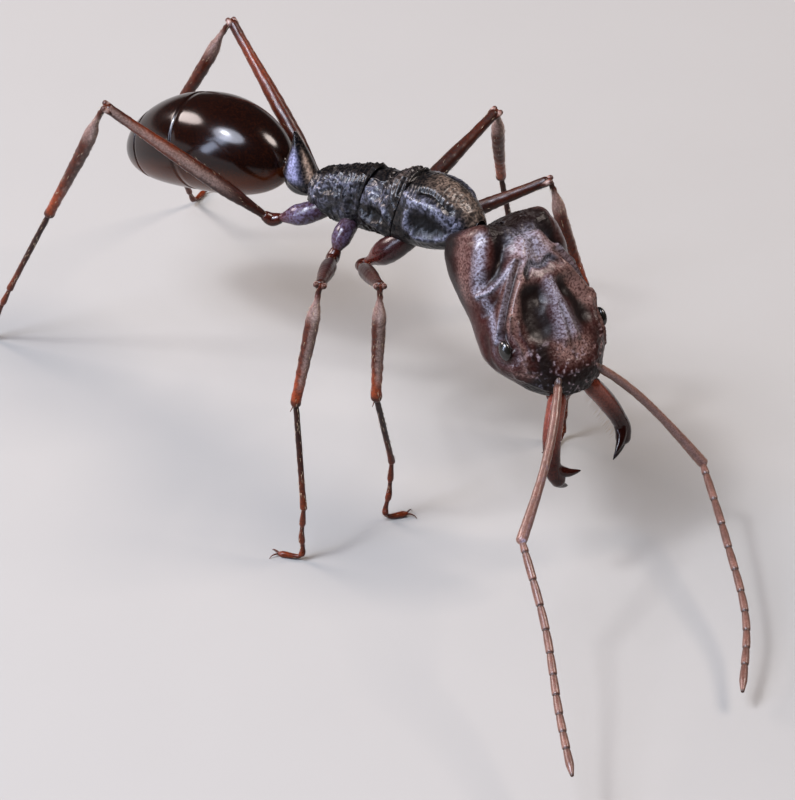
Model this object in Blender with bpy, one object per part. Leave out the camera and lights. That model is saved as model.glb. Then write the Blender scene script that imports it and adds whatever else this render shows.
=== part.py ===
"""A trap-jaw ant worker, standing, at life size: about 13 mm from jaw tips to gaster tip.

Every plate of the body is its own object. X is the ant's left, -Y its front, +Z up, and the feet
stand on Z = 0. Shapes are drawn in millimetres and scaled to metres as each mesh is made.
"""
import math

import bmesh
import bpy
from mathutils import Euler, Matrix, Vector

MM = 0.001                     # the drawings are in millimetres, the scene in metres
SLIT = 0.024                   # width of the thin cut between two neighbouring plates
STAND_AT = Vector((0.655, 1.03, 0.0))   # sets the middle of the feet and feelers over the origin
TRUNK_AT = Vector((0.0, 0.0, 4.70))
TRUNK_PITCH = -12.8            # degrees about X: the trunk rises towards the head
GASTER_AT = Vector((0.0, 2.25, 4.50))
GASTER_PITCH = 20.5            # degrees about X: the gaster droops towards its tip
HEAD_LENGTH = 3.05
HEAD_AT = Vector((-0.27, -3.36, 4.58))
HEAD_ANTERIOR = Vector((-0.19, -0.55, -0.81))      # where the jaws point: steeply down
HEAD_LEFT = Vector((0.97, -0.22, -0.08))
BODY_SIDES = 20
LIMB_SIDES = 10
FLAT_Z = 0.0                   # the level of the small flats under the feet

# Cross-sections of the trunk: along the body, half width, height over and depth under the axis.
PRONOTUM = ((-1.84, 0.15, 0.18, 0.10), (-1.74, 0.27, 0.33, 0.22), (-1.50, 0.45, 0.54, 0.33),
            (-1.25, 0.56, 0.69, 0.39), (-1.00, 0.61, 0.76, 0.42), (-0.75, 0.61, 0.77, 0.43),
            (-0.40, 0.58, 0.77, 0.43))
MESOTHORAX = ((-0.40, 0.57, 0.77, 0.43), (-0.27, 0.55, 0.79, 0.43), (-0.05, 0.50, 0.71, 0.43),
              (0.04, 0.48, 0.66, 0.44), (0.24, 0.46, 0.65, 0.45), (0.42, 0.44, 0.64, 0.45))
PROPODEUM = ((0.42, 0.43, 0.72, 0.45), (0.55, 0.43, 0.67, 0.46), (0.80, 0.45, 0.56, 0.45),
             (1.00, 0.45, 0.50, 0.44), (1.27, 0.44, 0.42, 0.39), (1.38, 0.42, 0.40, 0.36),
             (1.56, 0.34, 0.30, 0.28), (1.66, 0.20, 0.14, 0.16))
TRUNK_LEAN = 0.35              # how far the cuts between the plates lean forward for each mm up
TRUNK_LEAN_AT = -0.10          # where on the trunk they lean the most
TRUNK_LEAN_REACH = 0.90        # how far from there they stand upright again
TRUNK_SQUARE = 2.3             # power of the superellipse: 2 is an ellipse
# The petiole stands upright: height, half width, half length, and how far back its middle is.
PETIOLE = ((-0.38, 0.13, 0.12, 0.00), (-0.30, 0.21, 0.28, -0.05), (-0.14, 0.26, 0.34, -0.06),
           (0.10, 0.25, 0.28, 0.00), (0.34, 0.18, 0.18, 0.05), (0.54, 0.10, 0.10, 0.10),
           (0.72, 0.05, 0.05, 0.16))
PETIOLE_AT = Vector((0.0, 1.96, 4.47))
# The gaster: share of its length, radius as a share of the greatest one.
GASTER_LENGTH = 3.50
GASTER_RADIUS = 0.86
GASTER_THICKEST = 0.42         # share of the length where it is thickest
GASTER_ARCH = 0.26             # how far the middle of its axis rises over the ends
GASTER_SEGMENTS = (("gaster_tergite_1", 0.00, 0.60), ("gaster_tergite_2", 0.60, 0.84),
                   ("gaster_tip", 0.84, 1.00))
# The head capsule, in shares of the head's length: along, half width, top and bottom height.
HEAD = ((-0.50, 0.14, -0.12, -0.36), (-0.475, 0.235, -0.06, -0.44), (-0.41, 0.295, -0.01, -0.49),
        (-0.30, 0.325, 0.025, -0.50), (-0.15, 0.335, 0.07, -0.46), (0.00, 0.34, 0.11, -0.40),
        (0.12, 0.36, 0.13, -0.36), (0.20, 0.365, 0.135, -0.33), (0.28, 0.335, 0.145, -0.28),
        (0.36, 0.27, 0.15, -0.21), (0.44, 0.19, 0.14, -0.14), (0.49, 0.11, 0.11, -0.06))
VERTEX_NOTCH = 0.065                # how deep the back of the head is notched at the midline
NOTCH_REACH = 0.22                  # how far out to each side, and forward, the notch fades
EYE_AT = (0.17, 0.350, 0.00)       # along, out and up, in shares of the head's length
EYE_RADII = (0.19, 0.13, 0.15)      # along, out and up, in mm
MANDIBLE_AT = (0.475, 0.10, 0.05)
MANDIBLE_OPEN = {"left": 34.0, "right": 10.0}    # degrees outward from the head's axis
MANDIBLE_DROP = 20.0                # degrees down from the head's axis
MANDIBLE_LENGTH = 1.55
MANDIBLE_WIDTH = 0.17               # half width of the shaft's base
MANDIBLE_BOW = 0.10                 # how far the shaft's middle bows outward
MANDIBLE_HOOK = 0.16                # radius of the bend into the inner tooth
# The two long teeth of each tip, from the bend inward: inward, forward and down, and radius.
INNER_TOOTH = ((0.22, -0.03, 0.00, 0.068), (0.42, -0.10, 0.00, 0.024))
SECOND_TOOTH = ((-0.04, 0.93, 0.05, 0.16), (0.14, 0.90, 0.16, 0.12), (0.34, 0.84, 0.26, 0.04))

LEG_BASES = {"fore": (0.42, -0.65, 4.60), "mid": (0.34, 0.62, 4.34), "hind": (0.32, 1.15, 4.25)}
LEG_HIPS = {"fore": (0.52, 0.18, 3.68), "mid": (0.85, 0.55, 3.80), "hind": (0.70, 1.98, 3.82)}
# Knee, ankle, end of the first foot joint, and toe of each leg, in the order of LEG_PIECES.
LEG_JOINTS = {
    "fore_right": ((-2.33, -1.51, 5.07), (-2.34, -1.64, 2.89), (-1.78, -1.68, 1.25), (-1.56, -1.81, 0.15)),
    "mid_right": ((-2.98, -0.79, 5.07), (-3.39, -0.79, 2.92), (-3.60, -1.27, 1.10), (-3.71, -1.06, 0.15)),
    "hind_right": ((-2.63, 4.09, 6.05), (-2.58, 5.26, 3.30), (-2.62, 6.05, 1.35), (-2.55, 6.80, 0.15)),
    "fore_left": ((1.89, -1.77, 5.15), (2.26, -2.48, 3.15), (2.05, -2.55, 1.35), (1.76, -2.60, 0.15)),
    "mid_left": ((3.30, 0.35, 4.84), (4.21, 0.71, 2.87), (4.45, 0.35, 1.15), (4.60, 0.20, 0.15)),
    "hind_left": ((1.63, 4.87, 5.39), (1.27, 6.02, 2.64), (2.35, 6.40, 1.05), (3.30, 6.60, 0.15)),
}
# Radius at the start, the thickest place, and the end of each piece, and where the thickest is.
LEG_PIECES = {
    "coxa": (0.22, 0.26, 0.20, 0.40), "femur": (0.21, 0.26, 0.24, 0.35),
    "tibia": (0.22, 0.25, 0.24, 0.60), "basitarsus": (0.24, 0.24, 0.22, 0.30),
    "tarsus": (0.22, 0.22, 0.21, 0.30),
}
ANTENNA_BASE = (0.395, 0.134, 0.11)
# Elbow, two joints along the whip, and its tip.
ANTENNA_JOINTS = {
    "right": ((-3.34, -5.40, 2.58), (-4.17, -6.55, 1.95), (-5.24, -7.69, 1.42), (-5.91, -8.45, 1.13)),
    "left": ((1.58, -5.64, 1.45), (0.60, -6.85, 1.08), (-0.54, -8.10, 0.69), (-1.70, -8.87, 0.40)),
}
ANTENNA_PIECES = {
    "scape": (0.20, 0.24, 0.25, 0.80), "funiculus_base": (0.24, 0.25, 0.24, 0.50),
    "funiculus_middle": (0.24, 0.24, 0.24, 0.50), "funiculus_tip": (0.24, 0.24, 0.20, 0.30),
}


def clear_scene():
    for old in list(bpy.data.objects):
        bpy.data.objects.remove(old, do_unlink=True)


def material(name, colour, roughness):
    made = bpy.data.materials.new(name)
    made.use_nodes = True
    shader = made.node_tree.nodes["Principled BSDF"]
    shader.inputs["Base Color"].default_value = (*colour, 1.0)
    shader.inputs["Roughness"].default_value = roughness
    shader.inputs["Metallic"].default_value = 0.0
    return made


def frame(name, at, turn=(0.0, 0.0, 0.0), parent=None):
    """An empty that carries the pieces drawn in one frame of the body."""
    empty = bpy.data.objects.new(name, None)
    bpy.context.scene.collection.objects.link(empty)
    empty.location = at * MM
    empty.rotation_euler = turn
    empty.parent = parent
    return empty


def add_object(name, bm, finish, parent=None):
    """Turns a drawing in millimetres into an object in metres."""
    bmesh.ops.recalc_face_normals(bm, faces=bm.faces)
    bmesh.ops.transform(bm, matrix=Matrix.Scale(MM, 4), verts=bm.verts)
    mesh = bpy.data.meshes.new(name)
    bm.to_mesh(mesh)
    bm.free()
    mesh.shade_smooth()
    mesh.set_sharp_from_angle(angle=math.radians(50))
    mesh.materials.append(material(name, *finish))
    made = bpy.data.objects.new(name, mesh)
    bpy.context.scene.collection.objects.link(made)
    made.parent = parent
    return made


def section(across, top, bottom, sides, square):
    """Points round a superellipse that is taller on one side: (x, z) pairs."""
    points = []
    for step in range(sides):
        angle = 2 * math.pi * (step + 0.5) / sides
        cosine, sine = math.cos(angle), math.sin(angle)
        x = across * math.copysign(abs(cosine) ** (2 / square), cosine)
        reach = top if sine > 0 else bottom
        points.append((x, reach * math.copysign(abs(sine) ** (2 / square), sine)))
    return points


def loft(rings):
    """A closed drawing with faces between neighbouring rings and over both ends."""
    bm = bmesh.new()
    loops = [[bm.verts.new(point) for point in ring] for ring in rings]
    count = len(loops[0])
    for near, far in zip(loops, loops[1:]):
        for i in range(count):
            j = (i + 1) % count
            bm.faces.new((near[i], near[j], far[j], far[i]))
    bm.faces.new(loops[0])
    bm.faces.new(reversed(loops[-1]))
    return bm


def trunk_rings(stations, grow=0.0):
    rings = []
    for along, across, top, bottom in stations:
        edge = section(across + grow, top + grow, bottom + grow, BODY_SIDES, TRUNK_SQUARE)
        near = 1 - abs(along - TRUNK_LEAN_AT) / TRUNK_LEAN_REACH
        lean = TRUNK_LEAN * min(1.0, max(0.0, 2 * near))
        rings.append([(x, along - lean * z, z) for x, z in edge])
    return rings


def narrowed(stations):
    """The same plate with half a slit taken off each end."""
    first, *middle, last = stations
    return ((first[0] + SLIT / 2, *first[1:]), *middle, (last[0] - SLIT / 2, *last[1:]))


def notch(along, across):
    """How far forward the back rim of the head is drawn in between its two lobes."""
    inward = max(0.0, 1 - abs(across) / NOTCH_REACH)
    behind = max(0.0, 1 - (along - HEAD[0][0]) / NOTCH_REACH)
    return VERTEX_NOTCH * inward * behind


def head_rings(grow=0.0):
    share = grow / HEAD_LENGTH
    rings = []
    for along, across, top, bottom in HEAD:
        middle = (top + bottom) / 2
        half = (top - bottom) / 2 + share
        edge = section(across + share, half, half, BODY_SIDES, TRUNK_SQUARE)
        shift = math.copysign(share, along) if along in (HEAD[0][0], HEAD[-1][0]) else 0.0
        rings.append([(x * HEAD_LENGTH, -(along + shift + notch(along, x)) * HEAD_LENGTH,
                       (middle + z) * HEAD_LENGTH) for x, z in edge])
    return rings


def gaster_radius(share):
    """Blunt in front, thickest before the middle, drawn out to the tip."""
    if share < GASTER_THICKEST:
        return GASTER_RADIUS * math.sqrt(1 - (1 - share / GASTER_THICKEST) ** 2)
    return GASTER_RADIUS * math.sqrt(1 - ((share - GASTER_THICKEST) / 0.60) ** 2.1)


def gaster_rings(start, end, count, grow=0.0):
    rings = []
    for step in range(count + 1):
        share = start + (end - start) * step / count
        radius = max(gaster_radius(share), 0.10) + grow
        edge = section(radius * 0.98, radius, radius, BODY_SIDES, 2.0)
        arch = GASTER_ARCH * math.sin(math.pi * share)
        rings.append([(x, share * GASTER_LENGTH, z + arch) for x, z in edge])
    return rings


def limb_radius(radii, share):
    """Eases from the first radius to the thickest place and on to the last radius."""
    first, thickest, last, place = radii
    low, high, t = (first, thickest, share / place) if share < place else (
        thickest, last, (share - place) / (1 - place))
    return low + (high - low) * (0.5 - 0.5 * math.cos(math.pi * min(1.0, t)))


def limb_rings(length, radii, spans=3, cap=2):
    """A tube along +Z from 0 to length, with a round cap beyond each end."""
    rings = []
    for step in range(cap):
        angle = math.pi / 2 * (1 - (step + 0.35) / cap)
        rings.append((-radii[0] * math.sin(angle), radii[0] * math.cos(angle)))
    for step in range(spans + 1):
        rings.append((length * step / spans, limb_radius(radii, step / spans)))
    for step in reversed(range(cap)):
        angle = math.pi / 2 * (1 - (step + 0.35) / cap)
        rings.append((length + radii[2] * math.sin(angle), radii[2] * math.cos(angle)))
    return [[(x, y, along) for x, y in section(r, r, r, LIMB_SIDES, 2.0)] for along, r in rings]


def trim(bm, at, normal):
    """Cuts away what lies on the side that the normal points to, and closes the cut."""
    geometry = bm.verts[:] + bm.edges[:] + bm.faces[:]
    cut = bmesh.ops.bisect_plane(bm, geom=geometry, dist=1e-6, plane_co=at, plane_no=normal,
                                 clear_outer=True, clear_inner=False)
    rim = [item for item in cut["geom_cut"] if isinstance(item, bmesh.types.BMEdge)]
    if rim:
        bmesh.ops.contextual_create(bm, geom=rim)


def limb(name, before, start, end, after, radii, finish):
    """One length of a leg or feeler, mitred to the lengths before and after it."""
    way = end - start
    turn = way.to_track_quat("Z", "Y")
    bm = loft(limb_rings(way.length, radii))
    back = turn.inverted()
    if before is not None:
        plane = back @ ((start - before).normalized() + way.normalized()).normalized()
        trim(bm, plane * SLIT / 2, -plane)
    if after is not None:
        plane = back @ ((after - end).normalized() + way.normalized()).normalized()
        trim(bm, Vector((0, 0, way.length)) - plane * SLIT / 2, plane)
    made = add_object(name, bm, finish)
    made.location = start * MM
    made.rotation_mode = "QUATERNION"
    made.rotation_quaternion = turn
    return made


def stand_flat(made):
    """Slices the toe off level, so that the foot rests on a small flat."""
    bm = bmesh.new()
    bm.from_mesh(made.data)
    into = made.rotation_quaternion.inverted()
    floor = Vector((0, 0, FLAT_Z * MM)) - made.location
    geometry = bm.verts[:] + bm.edges[:] + bm.faces[:]
    cut = bmesh.ops.bisect_plane(bm, geom=geometry, dist=1e-9, plane_co=into @ floor,
                                 plane_no=into @ Vector((0, 0, -1)), clear_outer=True)
    rim = [item for item in cut["geom_cut"] if isinstance(item, bmesh.types.BMEdge)]
    bmesh.ops.contextual_create(bm, geom=rim)
    bmesh.ops.recalc_face_normals(bm, faces=bm.faces)
    bm.to_mesh(made.data)
    bm.free()


def cutter(name, rings, parent):
    """A hidden, slightly grown copy of a plate that shapes what is set against it."""
    made = add_object(name, loft(rings), ((0.5, 0.5, 0.5), 0.5), parent)
    made.hide_render = True
    made.display_type = "WIRE"
    return made


def carve(made, other):
    cut = made.modifiers.new("Seat against " + other.name, "BOOLEAN")
    cut.operation = "DIFFERENCE"
    cut.solver = "EXACT"
    cut.object = other


def merge(made, other):
    joined = made.modifiers.new("Join " + other.name, "BOOLEAN")
    joined.operation = "UNION"
    joined.solver = "EXACT"
    joined.object = other


BLACK = ((0.012, 0.011, 0.014), 0.32)
BLACK_BROWN = ((0.030, 0.012, 0.008), 0.12)
RED_BROWN = ((0.075, 0.018, 0.010), 0.25)
BROWN = ((0.120, 0.045, 0.025), 0.35)
TAN = ((0.230, 0.120, 0.075), 0.45)
EYE = ((0.015, 0.012, 0.010), 0.15)


def build_trunk(trunk, head_seat):
    for name, stations in (("pronotum", PRONOTUM), ("mesothorax", MESOTHORAX),
                           ("propodeum", PROPODEUM)):
        plate = add_object(name, loft(trunk_rings(narrowed(stations))), BLACK, trunk)
        if name == "pronotum":
            carve(plate, head_seat)
    return cutter("trunk_seat", trunk_rings(PRONOTUM + MESOTHORAX[1:] + PROPODEUM[1:], SLIT), trunk)


def build_petiole(trunk_seat, gaster_seat, stand):
    rings = []
    for height, across, along, back in PETIOLE:
        edge = section(across, along, along, 14, 2.0)
        rings.append([(x, y + back, height) for x, y in edge])
    petiole = add_object("petiole", loft(rings), BLACK, stand)
    petiole.location = PETIOLE_AT * MM
    carve(petiole, trunk_seat)
    carve(petiole, gaster_seat)


def build_gaster(gaster):
    inset = SLIT / 2 / GASTER_LENGTH
    for name, start, end in GASTER_SEGMENTS:
        count = max(3, round((end - start) * 12))
        low = start + (inset if start else 0.004)
        high = end - (inset if end < 1 else 0.004)
        add_object(name, loft(gaster_rings(low, high, count)), BLACK_BROWN, gaster)
    return cutter("gaster_seat", gaster_rings(0.0, 0.6, 8, SLIT), gaster)


def ellipsoid(radii, rings, sides):
    bm = bmesh.new()
    bmesh.ops.create_uvsphere(bm, u_segments=sides, v_segments=rings, radius=1.0,
                              matrix=Matrix.Diagonal((*radii, 1.0)))
    return bm


def build_head(head):
    add_object("head_capsule", loft(head_rings()), RED_BROWN, head)
    seat = cutter("head_seat", head_rings(SLIT), head)
    along, out, up = (share * HEAD_LENGTH for share in EYE_AT)
    for side, sign in (("left", 1), ("right", -1)):
        long, thick, tall = EYE_RADII
        eye = add_object(f"eye_{side}", ellipsoid((thick, long, tall), 8, 12), EYE, head)
        eye.location = Vector((sign * out, -along, up)) * MM
        carve(eye, seat)
    return seat


def mandible_path():
    """The shaft, straight and slightly bowed, then a square bend into the tooth at its tip."""
    path = []
    for step in range(6):
        bow = math.sin(math.pi * step / 5)
        at = Vector((MANDIBLE_BOW * bow, -(MANDIBLE_LENGTH - MANDIBLE_HOOK) * step / 5, 0.0))
        path.append((at, MANDIBLE_WIDTH * (1 - 0.18 * bow)))
    bend = path[-1][0]
    for step in range(1, 4):
        angle = math.radians(30 * step)
        offset = Vector((-1 + math.cos(angle), -math.sin(angle), 0.0)) * MANDIBLE_HOOK
        path.append((bend + offset, MANDIBLE_WIDTH * (1 - 0.12 * step)))
    end = path[-1][0]
    for inward, forward, down, radius in INNER_TOOTH:
        path.append((end - Vector((inward, forward, down)), radius))
    return path


def path_rings(path, sides):
    """Rings square to a path that lies near the XY plane."""
    rings = []
    last = len(path) - 1
    for i, (at, radius) in enumerate(path):
        way = (path[min(i + 1, last)][0] - path[max(i - 1, 0)][0]).normalized()
        side = Vector((0, 0, 1)).cross(way)
        rings.append([at + side * x + Vector((0, 0, z))
                      for x, z in section(radius, radius, radius, sides, 2.0)])
    return rings


def build_mandibles(head, head_seat):
    along, out, up = (share * HEAD_LENGTH for share in MANDIBLE_AT)
    for side, sign in (("left", 1), ("right", -1)):
        flip = Matrix.Diagonal((sign, 1, 1, 1))
        bm = loft(path_rings(mandible_path(), LIMB_SIDES))
        bmesh.ops.transform(bm, matrix=flip, verts=bm.verts)
        jaw = add_object(f"mandible_{side}", bm, RED_BROWN, head)
        tooth_path = [(Vector((-inward, -forward * MANDIBLE_LENGTH, -down)), radius)
                      for inward, forward, down, radius in SECOND_TOOTH]
        bm = loft(path_rings(tooth_path, 8))
        bmesh.ops.transform(bm, matrix=flip, verts=bm.verts)
        tooth = add_object(f"tooth_{side}", bm, RED_BROWN, head)
        tooth.hide_render = True
        tooth.display_type = "WIRE"
        for piece in (jaw, tooth):
            piece.location = Vector((sign * out, -along, up)) * MM
            piece.rotation_euler = (math.radians(MANDIBLE_DROP), 0,
                                    math.radians(sign * MANDIBLE_OPEN[side]))
        merge(jaw, tooth)
        carve(jaw, head_seat)


def build_legs(trunk_seat, stand):
    for pair in ("fore", "mid", "hind"):
        for side, sign in (("left", 1), ("right", -1)):
            mirror = Vector((sign, 1, 1))
            points = [mirror * Vector(LEG_BASES[pair]), mirror * Vector(LEG_HIPS[pair])]
            points += [Vector(point) for point in LEG_JOINTS[f"{pair}_{side}"]]
            for i, (piece, radii) in enumerate(LEG_PIECES.items()):
                before = points[i - 1] if i else None
                after = points[i + 2] if i + 2 < len(points) else None
                finish = RED_BROWN if piece == "coxa" else BROWN
                made = limb(f"{piece}_{pair}_{side}", before, points[i], points[i + 1], after,
                            radii, finish)
                made.parent = stand
                if piece == "coxa":
                    carve(made, trunk_seat)
                if piece == "tarsus":
                    stand_flat(made)


def build_antennae(head_turn, head_seat, stand):
    along, out, up = (share * HEAD_LENGTH for share in ANTENNA_BASE)
    for side, sign in (("left", 1), ("right", -1)):
        base = HEAD_AT + head_turn @ Vector((sign * out, -along, up))
        points = [base] + [Vector(point) for point in ANTENNA_JOINTS[side]]
        for i, (piece, radii) in enumerate(ANTENNA_PIECES.items()):
            before = points[i - 1] if i else None
            after = points[i + 2] if i + 2 < len(points) else None
            made = limb(f"{piece}_{side}", before, points[i], points[i + 1], after, radii, TAN)
            made.parent = stand
            if piece == "scape":
                carve(made, head_seat)


def head_rotation():
    """The turn that takes the head's drawing (front -Y, left +X) to the way the ant holds it."""
    front = HEAD_ANTERIOR.normalized()
    left = (HEAD_LEFT - front * HEAD_LEFT.dot(front)).normalized()
    return Matrix((left, -front, left.cross(-front))).transposed()


def main():
    clear_scene()
    head_turn = head_rotation()
    stand = frame("stand", STAND_AT)
    trunk = frame("trunk_frame", TRUNK_AT, Euler((math.radians(TRUNK_PITCH), 0, 0)), stand)
    head = frame("head_frame", HEAD_AT, head_turn.to_euler(), stand)
    gaster = frame("gaster_frame", GASTER_AT, Euler((math.radians(-GASTER_PITCH), 0, 0)), stand)
    head_seat = build_head(head)
    trunk_seat = build_trunk(trunk, head_seat)
    gaster_seat = build_gaster(gaster)
    build_petiole(trunk_seat, gaster_seat, stand)
    build_mandibles(head, head_seat)
    build_antennae(head_turn, head_seat, stand)
    build_legs(trunk_seat, stand)


main()
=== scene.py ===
"""Looks of a trap-jaw ant worker, a museum model at life size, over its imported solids.

Shapes are drawn in millimetres in the model's own frame: X is the ant's left, -Y its front, +Z up,
and the feet stand on Z = 0. Each plate of the body is a piece of its own.
"""
import math

import bpy
import numpy as np
from bpy.props import FloatProperty, FloatVectorProperty, IntProperty, PointerProperty
from mathutils import Matrix


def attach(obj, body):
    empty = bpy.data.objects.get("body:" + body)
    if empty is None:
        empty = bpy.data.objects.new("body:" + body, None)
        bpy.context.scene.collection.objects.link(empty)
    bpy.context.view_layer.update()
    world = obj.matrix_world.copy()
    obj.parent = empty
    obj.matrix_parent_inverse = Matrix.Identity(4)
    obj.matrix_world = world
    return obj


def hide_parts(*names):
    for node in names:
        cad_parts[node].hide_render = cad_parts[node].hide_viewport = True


bl_info = {
    "name": "Trap-jaw ant",
    "version": (1, 0, 0),
    "blender": (4, 5, 0),
    "location": "View3D > Sidebar > Ant",
    "description": "Dresses the solids of a life-size trap-jaw ant with its plates, limbs and hairs",
    "category": "Object",
}

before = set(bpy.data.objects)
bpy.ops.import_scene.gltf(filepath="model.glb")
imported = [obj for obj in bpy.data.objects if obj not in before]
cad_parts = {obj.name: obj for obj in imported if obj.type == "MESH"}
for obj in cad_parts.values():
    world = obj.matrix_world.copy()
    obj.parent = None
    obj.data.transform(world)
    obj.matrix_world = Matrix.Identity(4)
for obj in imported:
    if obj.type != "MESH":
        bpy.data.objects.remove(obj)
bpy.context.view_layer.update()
MM = 0.001                          # the drawings are in millimetres, the scene in metres

# ---------------------------------------------------------------- sizes shared with the solids
# In mm and degrees. The model's own frame starts at STAND_AT; left and right are the ant's own.
SIDES = (("left", 1), ("right", -1))
STAND_AT = np.array((0.655, 1.03, 0.0))
TRUNK_AT = np.array((0.0, 0.0, 4.70))
TRUNK_PITCH = -12.8
GASTER_AT = np.array((0.0, 2.25, 4.50))
GASTER_PITCH = 20.5
HEAD_LENGTH = 3.05
HEAD_AT = np.array((-0.27, -3.36, 4.58))
HEAD_ANTERIOR = np.array((-0.19, -0.55, -0.81))
HEAD_LEFT = np.array((0.97, -0.22, -0.08))
# Stations along each trunk plate: place, half width, and how far it reaches up and down.
PRONOTUM = ((-1.84, 0.15, 0.18, 0.10), (-1.74, 0.27, 0.33, 0.22), (-1.50, 0.45, 0.54, 0.33),
            (-1.25, 0.56, 0.69, 0.39), (-1.00, 0.61, 0.76, 0.42), (-0.75, 0.61, 0.77, 0.43),
            (-0.40, 0.58, 0.77, 0.43))
MESOTHORAX = ((-0.40, 0.57, 0.77, 0.43), (-0.27, 0.55, 0.79, 0.43), (-0.05, 0.50, 0.71, 0.43),
              (0.04, 0.48, 0.66, 0.44), (0.24, 0.46, 0.65, 0.45), (0.42, 0.44, 0.64, 0.45))
PROPODEUM = ((0.42, 0.43, 0.72, 0.45), (0.55, 0.43, 0.67, 0.46), (0.80, 0.45, 0.56, 0.45),
             (1.00, 0.45, 0.50, 0.44), (1.27, 0.44, 0.42, 0.39), (1.38, 0.42, 0.40, 0.36),
             (1.56, 0.34, 0.30, 0.28), (1.66, 0.20, 0.14, 0.16))
TRUNK_LEAN, TRUNK_LEAN_AT, TRUNK_LEAN_REACH = 0.35, -0.10, 0.90
PETIOLE_AT = np.array((0.0, 1.96, 4.47))
GASTER_LENGTH, GASTER_RADIUS, GASTER_THICKEST, GASTER_ARCH = 3.50, 0.86, 0.42, 0.26
# Stations along the head, in shares of its length: place, half width, top and bottom.
HEAD = ((-0.50, 0.14, -0.12, -0.36), (-0.475, 0.235, -0.06, -0.44), (-0.41, 0.295, -0.01, -0.49),
        (-0.30, 0.325, 0.025, -0.50), (-0.15, 0.335, 0.07, -0.46), (0.00, 0.34, 0.11, -0.40),
        (0.12, 0.36, 0.13, -0.36), (0.20, 0.365, 0.135, -0.33), (0.28, 0.335, 0.145, -0.28),
        (0.36, 0.27, 0.15, -0.21), (0.44, 0.19, 0.14, -0.14), (0.49, 0.11, 0.11, -0.06))
VERTEX_NOTCH, NOTCH_REACH = 0.065, 0.22
MANDIBLE_AT = (0.475, 0.10, 0.05)   # along, out and up, in shares of the head's length
MANDIBLE_DROP = 20.0
# The base of each coxa and its hip, then the knee, ankle, end of the first foot joint, and toe.
LEG_BASES = {"fore": (0.42, -0.65, 4.60), "mid": (0.34, 0.62, 4.34), "hind": (0.32, 1.15, 4.25)}
LEG_HIPS = {"fore": (0.52, 0.18, 3.68), "mid": (0.85, 0.55, 3.80), "hind": (0.70, 1.98, 3.82)}
LEG_JOINTS = {
    "fore_right": ((-2.33, -1.51, 5.07), (-2.34, -1.64, 2.89), (-1.78, -1.68, 1.25), (-1.56, -1.81, 0.15)),
    "mid_right": ((-2.98, -0.79, 5.07), (-3.39, -0.79, 2.92), (-3.60, -1.27, 1.10), (-3.71, -1.06, 0.15)),
    "hind_right": ((-2.63, 4.09, 6.05), (-2.58, 5.26, 3.30), (-2.62, 6.05, 1.35), (-2.55, 6.80, 0.15)),
    "fore_left": ((1.89, -1.77, 5.15), (2.26, -2.48, 3.15), (2.05, -2.55, 1.35), (1.76, -2.60, 0.15)),
    "mid_left": ((3.30, 0.35, 4.84), (4.21, 0.71, 2.87), (4.45, 0.35, 1.15), (4.60, 0.20, 0.15)),
    "hind_left": ((1.63, 4.87, 5.39), (1.27, 6.02, 2.64), (2.35, 6.40, 1.05), (3.30, 6.60, 0.15)),
}
ANTENNA_BASE = (0.395, 0.134, 0.11)  # along, out and up, in shares of the head's length
# The elbow, two places along the whip, and its tip.
ANTENNA_JOINTS = {
    "right": ((-3.34, -5.40, 2.58), (-4.17, -6.55, 1.95), (-5.24, -7.69, 1.42), (-5.91, -8.45, 1.13)),
    "left": ((1.58, -5.64, 1.45), (0.60, -6.85, 1.08), (-0.54, -8.10, 0.69), (-1.70, -8.87, 0.40)),
}

# ---------------------------------------------------------------- sizes of the scene alone
SQUARE = 2.3                        # how square the trunk and head are across, where 2 is round
# Stations up the petiole: height, half width, half length, and how far back its middle is. They
# follow the solid's, with a sharper tip.
PETIOLE = ((-0.38, 0.13, 0.12, 0.00), (-0.30, 0.21, 0.28, -0.05), (-0.14, 0.26, 0.34, -0.06),
           (0.10, 0.25, 0.28, 0.00), (0.34, 0.18, 0.18, 0.05), (0.54, 0.10, 0.10, 0.10),
           (0.72, 0.03, 0.03, 0.17))
# The gaster's plates, from where to where in shares of its length. The first seam lies farther
# forward than in the solids.
GASTER_SEGMENTS = (("gaster_tergite_1", 0.00, 0.53), ("gaster_tergite_2", 0.53, 0.84),
                   ("gaster_tip", 0.84, 1.00))
EYE_AT = np.array((0.17, 0.343, 0.00))  # along, out and up, in shares of the head's length
EYE_RADII = (0.165, 0.085, 0.125)   # half its length, thickness and height in mm
MANDIBLE_OPEN = {"left": 38.0, "right": 6.0}     # degrees; the solids have 34 and 10
TOOTH_SHADE = {"left": 1.0, "right": 0.55}       # how dark the ends of the jaws are; the right jaw's are kept lighter, as painted light
# How thick each pair's coxa is, how much painted highlight it has and how red its end is.
COXA_LOOKS = {"fore": (1.18, 0.04, 0.80), "mid": (0.92, 0.50, 0.20), "hind": (1.00, 0.65, 0.45)}
# How far each scape bows outward and up in mm, how tan it is, and how strong its painted highlight line
# is; the sides differ in tan and line as painted light.
SCAPE_LOOKS = {"left": (0.085, 0.145, 0.75, 0.10), "right": (-0.11, 0.03, 0.35, 0.60)}
# A whip's joints, from the short first one to the tip, by their share of its length.
WHIP_JOINTS = (0.62, 1.30, 1.22, 1.16, 1.10, 1.04, 0.98, 0.92, 0.86, 0.82, 1.25)
ROUND_END = 0.9                     # how far a tube's round end stands out, in radii
ROUGH_SIZE = 0.06                   # the lumps of a tube's rough skin, in mm
HIGHLIGHT_SIDE = (0.55, -0.80, 0.25)     # where a limb's painted highlight line lies: outer side, front and up
HAIR_LEAN, HAIR_SWAY, HAIR_ENDS = 0.75, 0.15, (0.05, 0.95)   # the lean and sway of hairs; where they grow
PATCH = 0.003                       # size of a hair's patch on the unwrap
JAW_HAIRS = 26                      # in the row along the inside of each jaw

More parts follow.
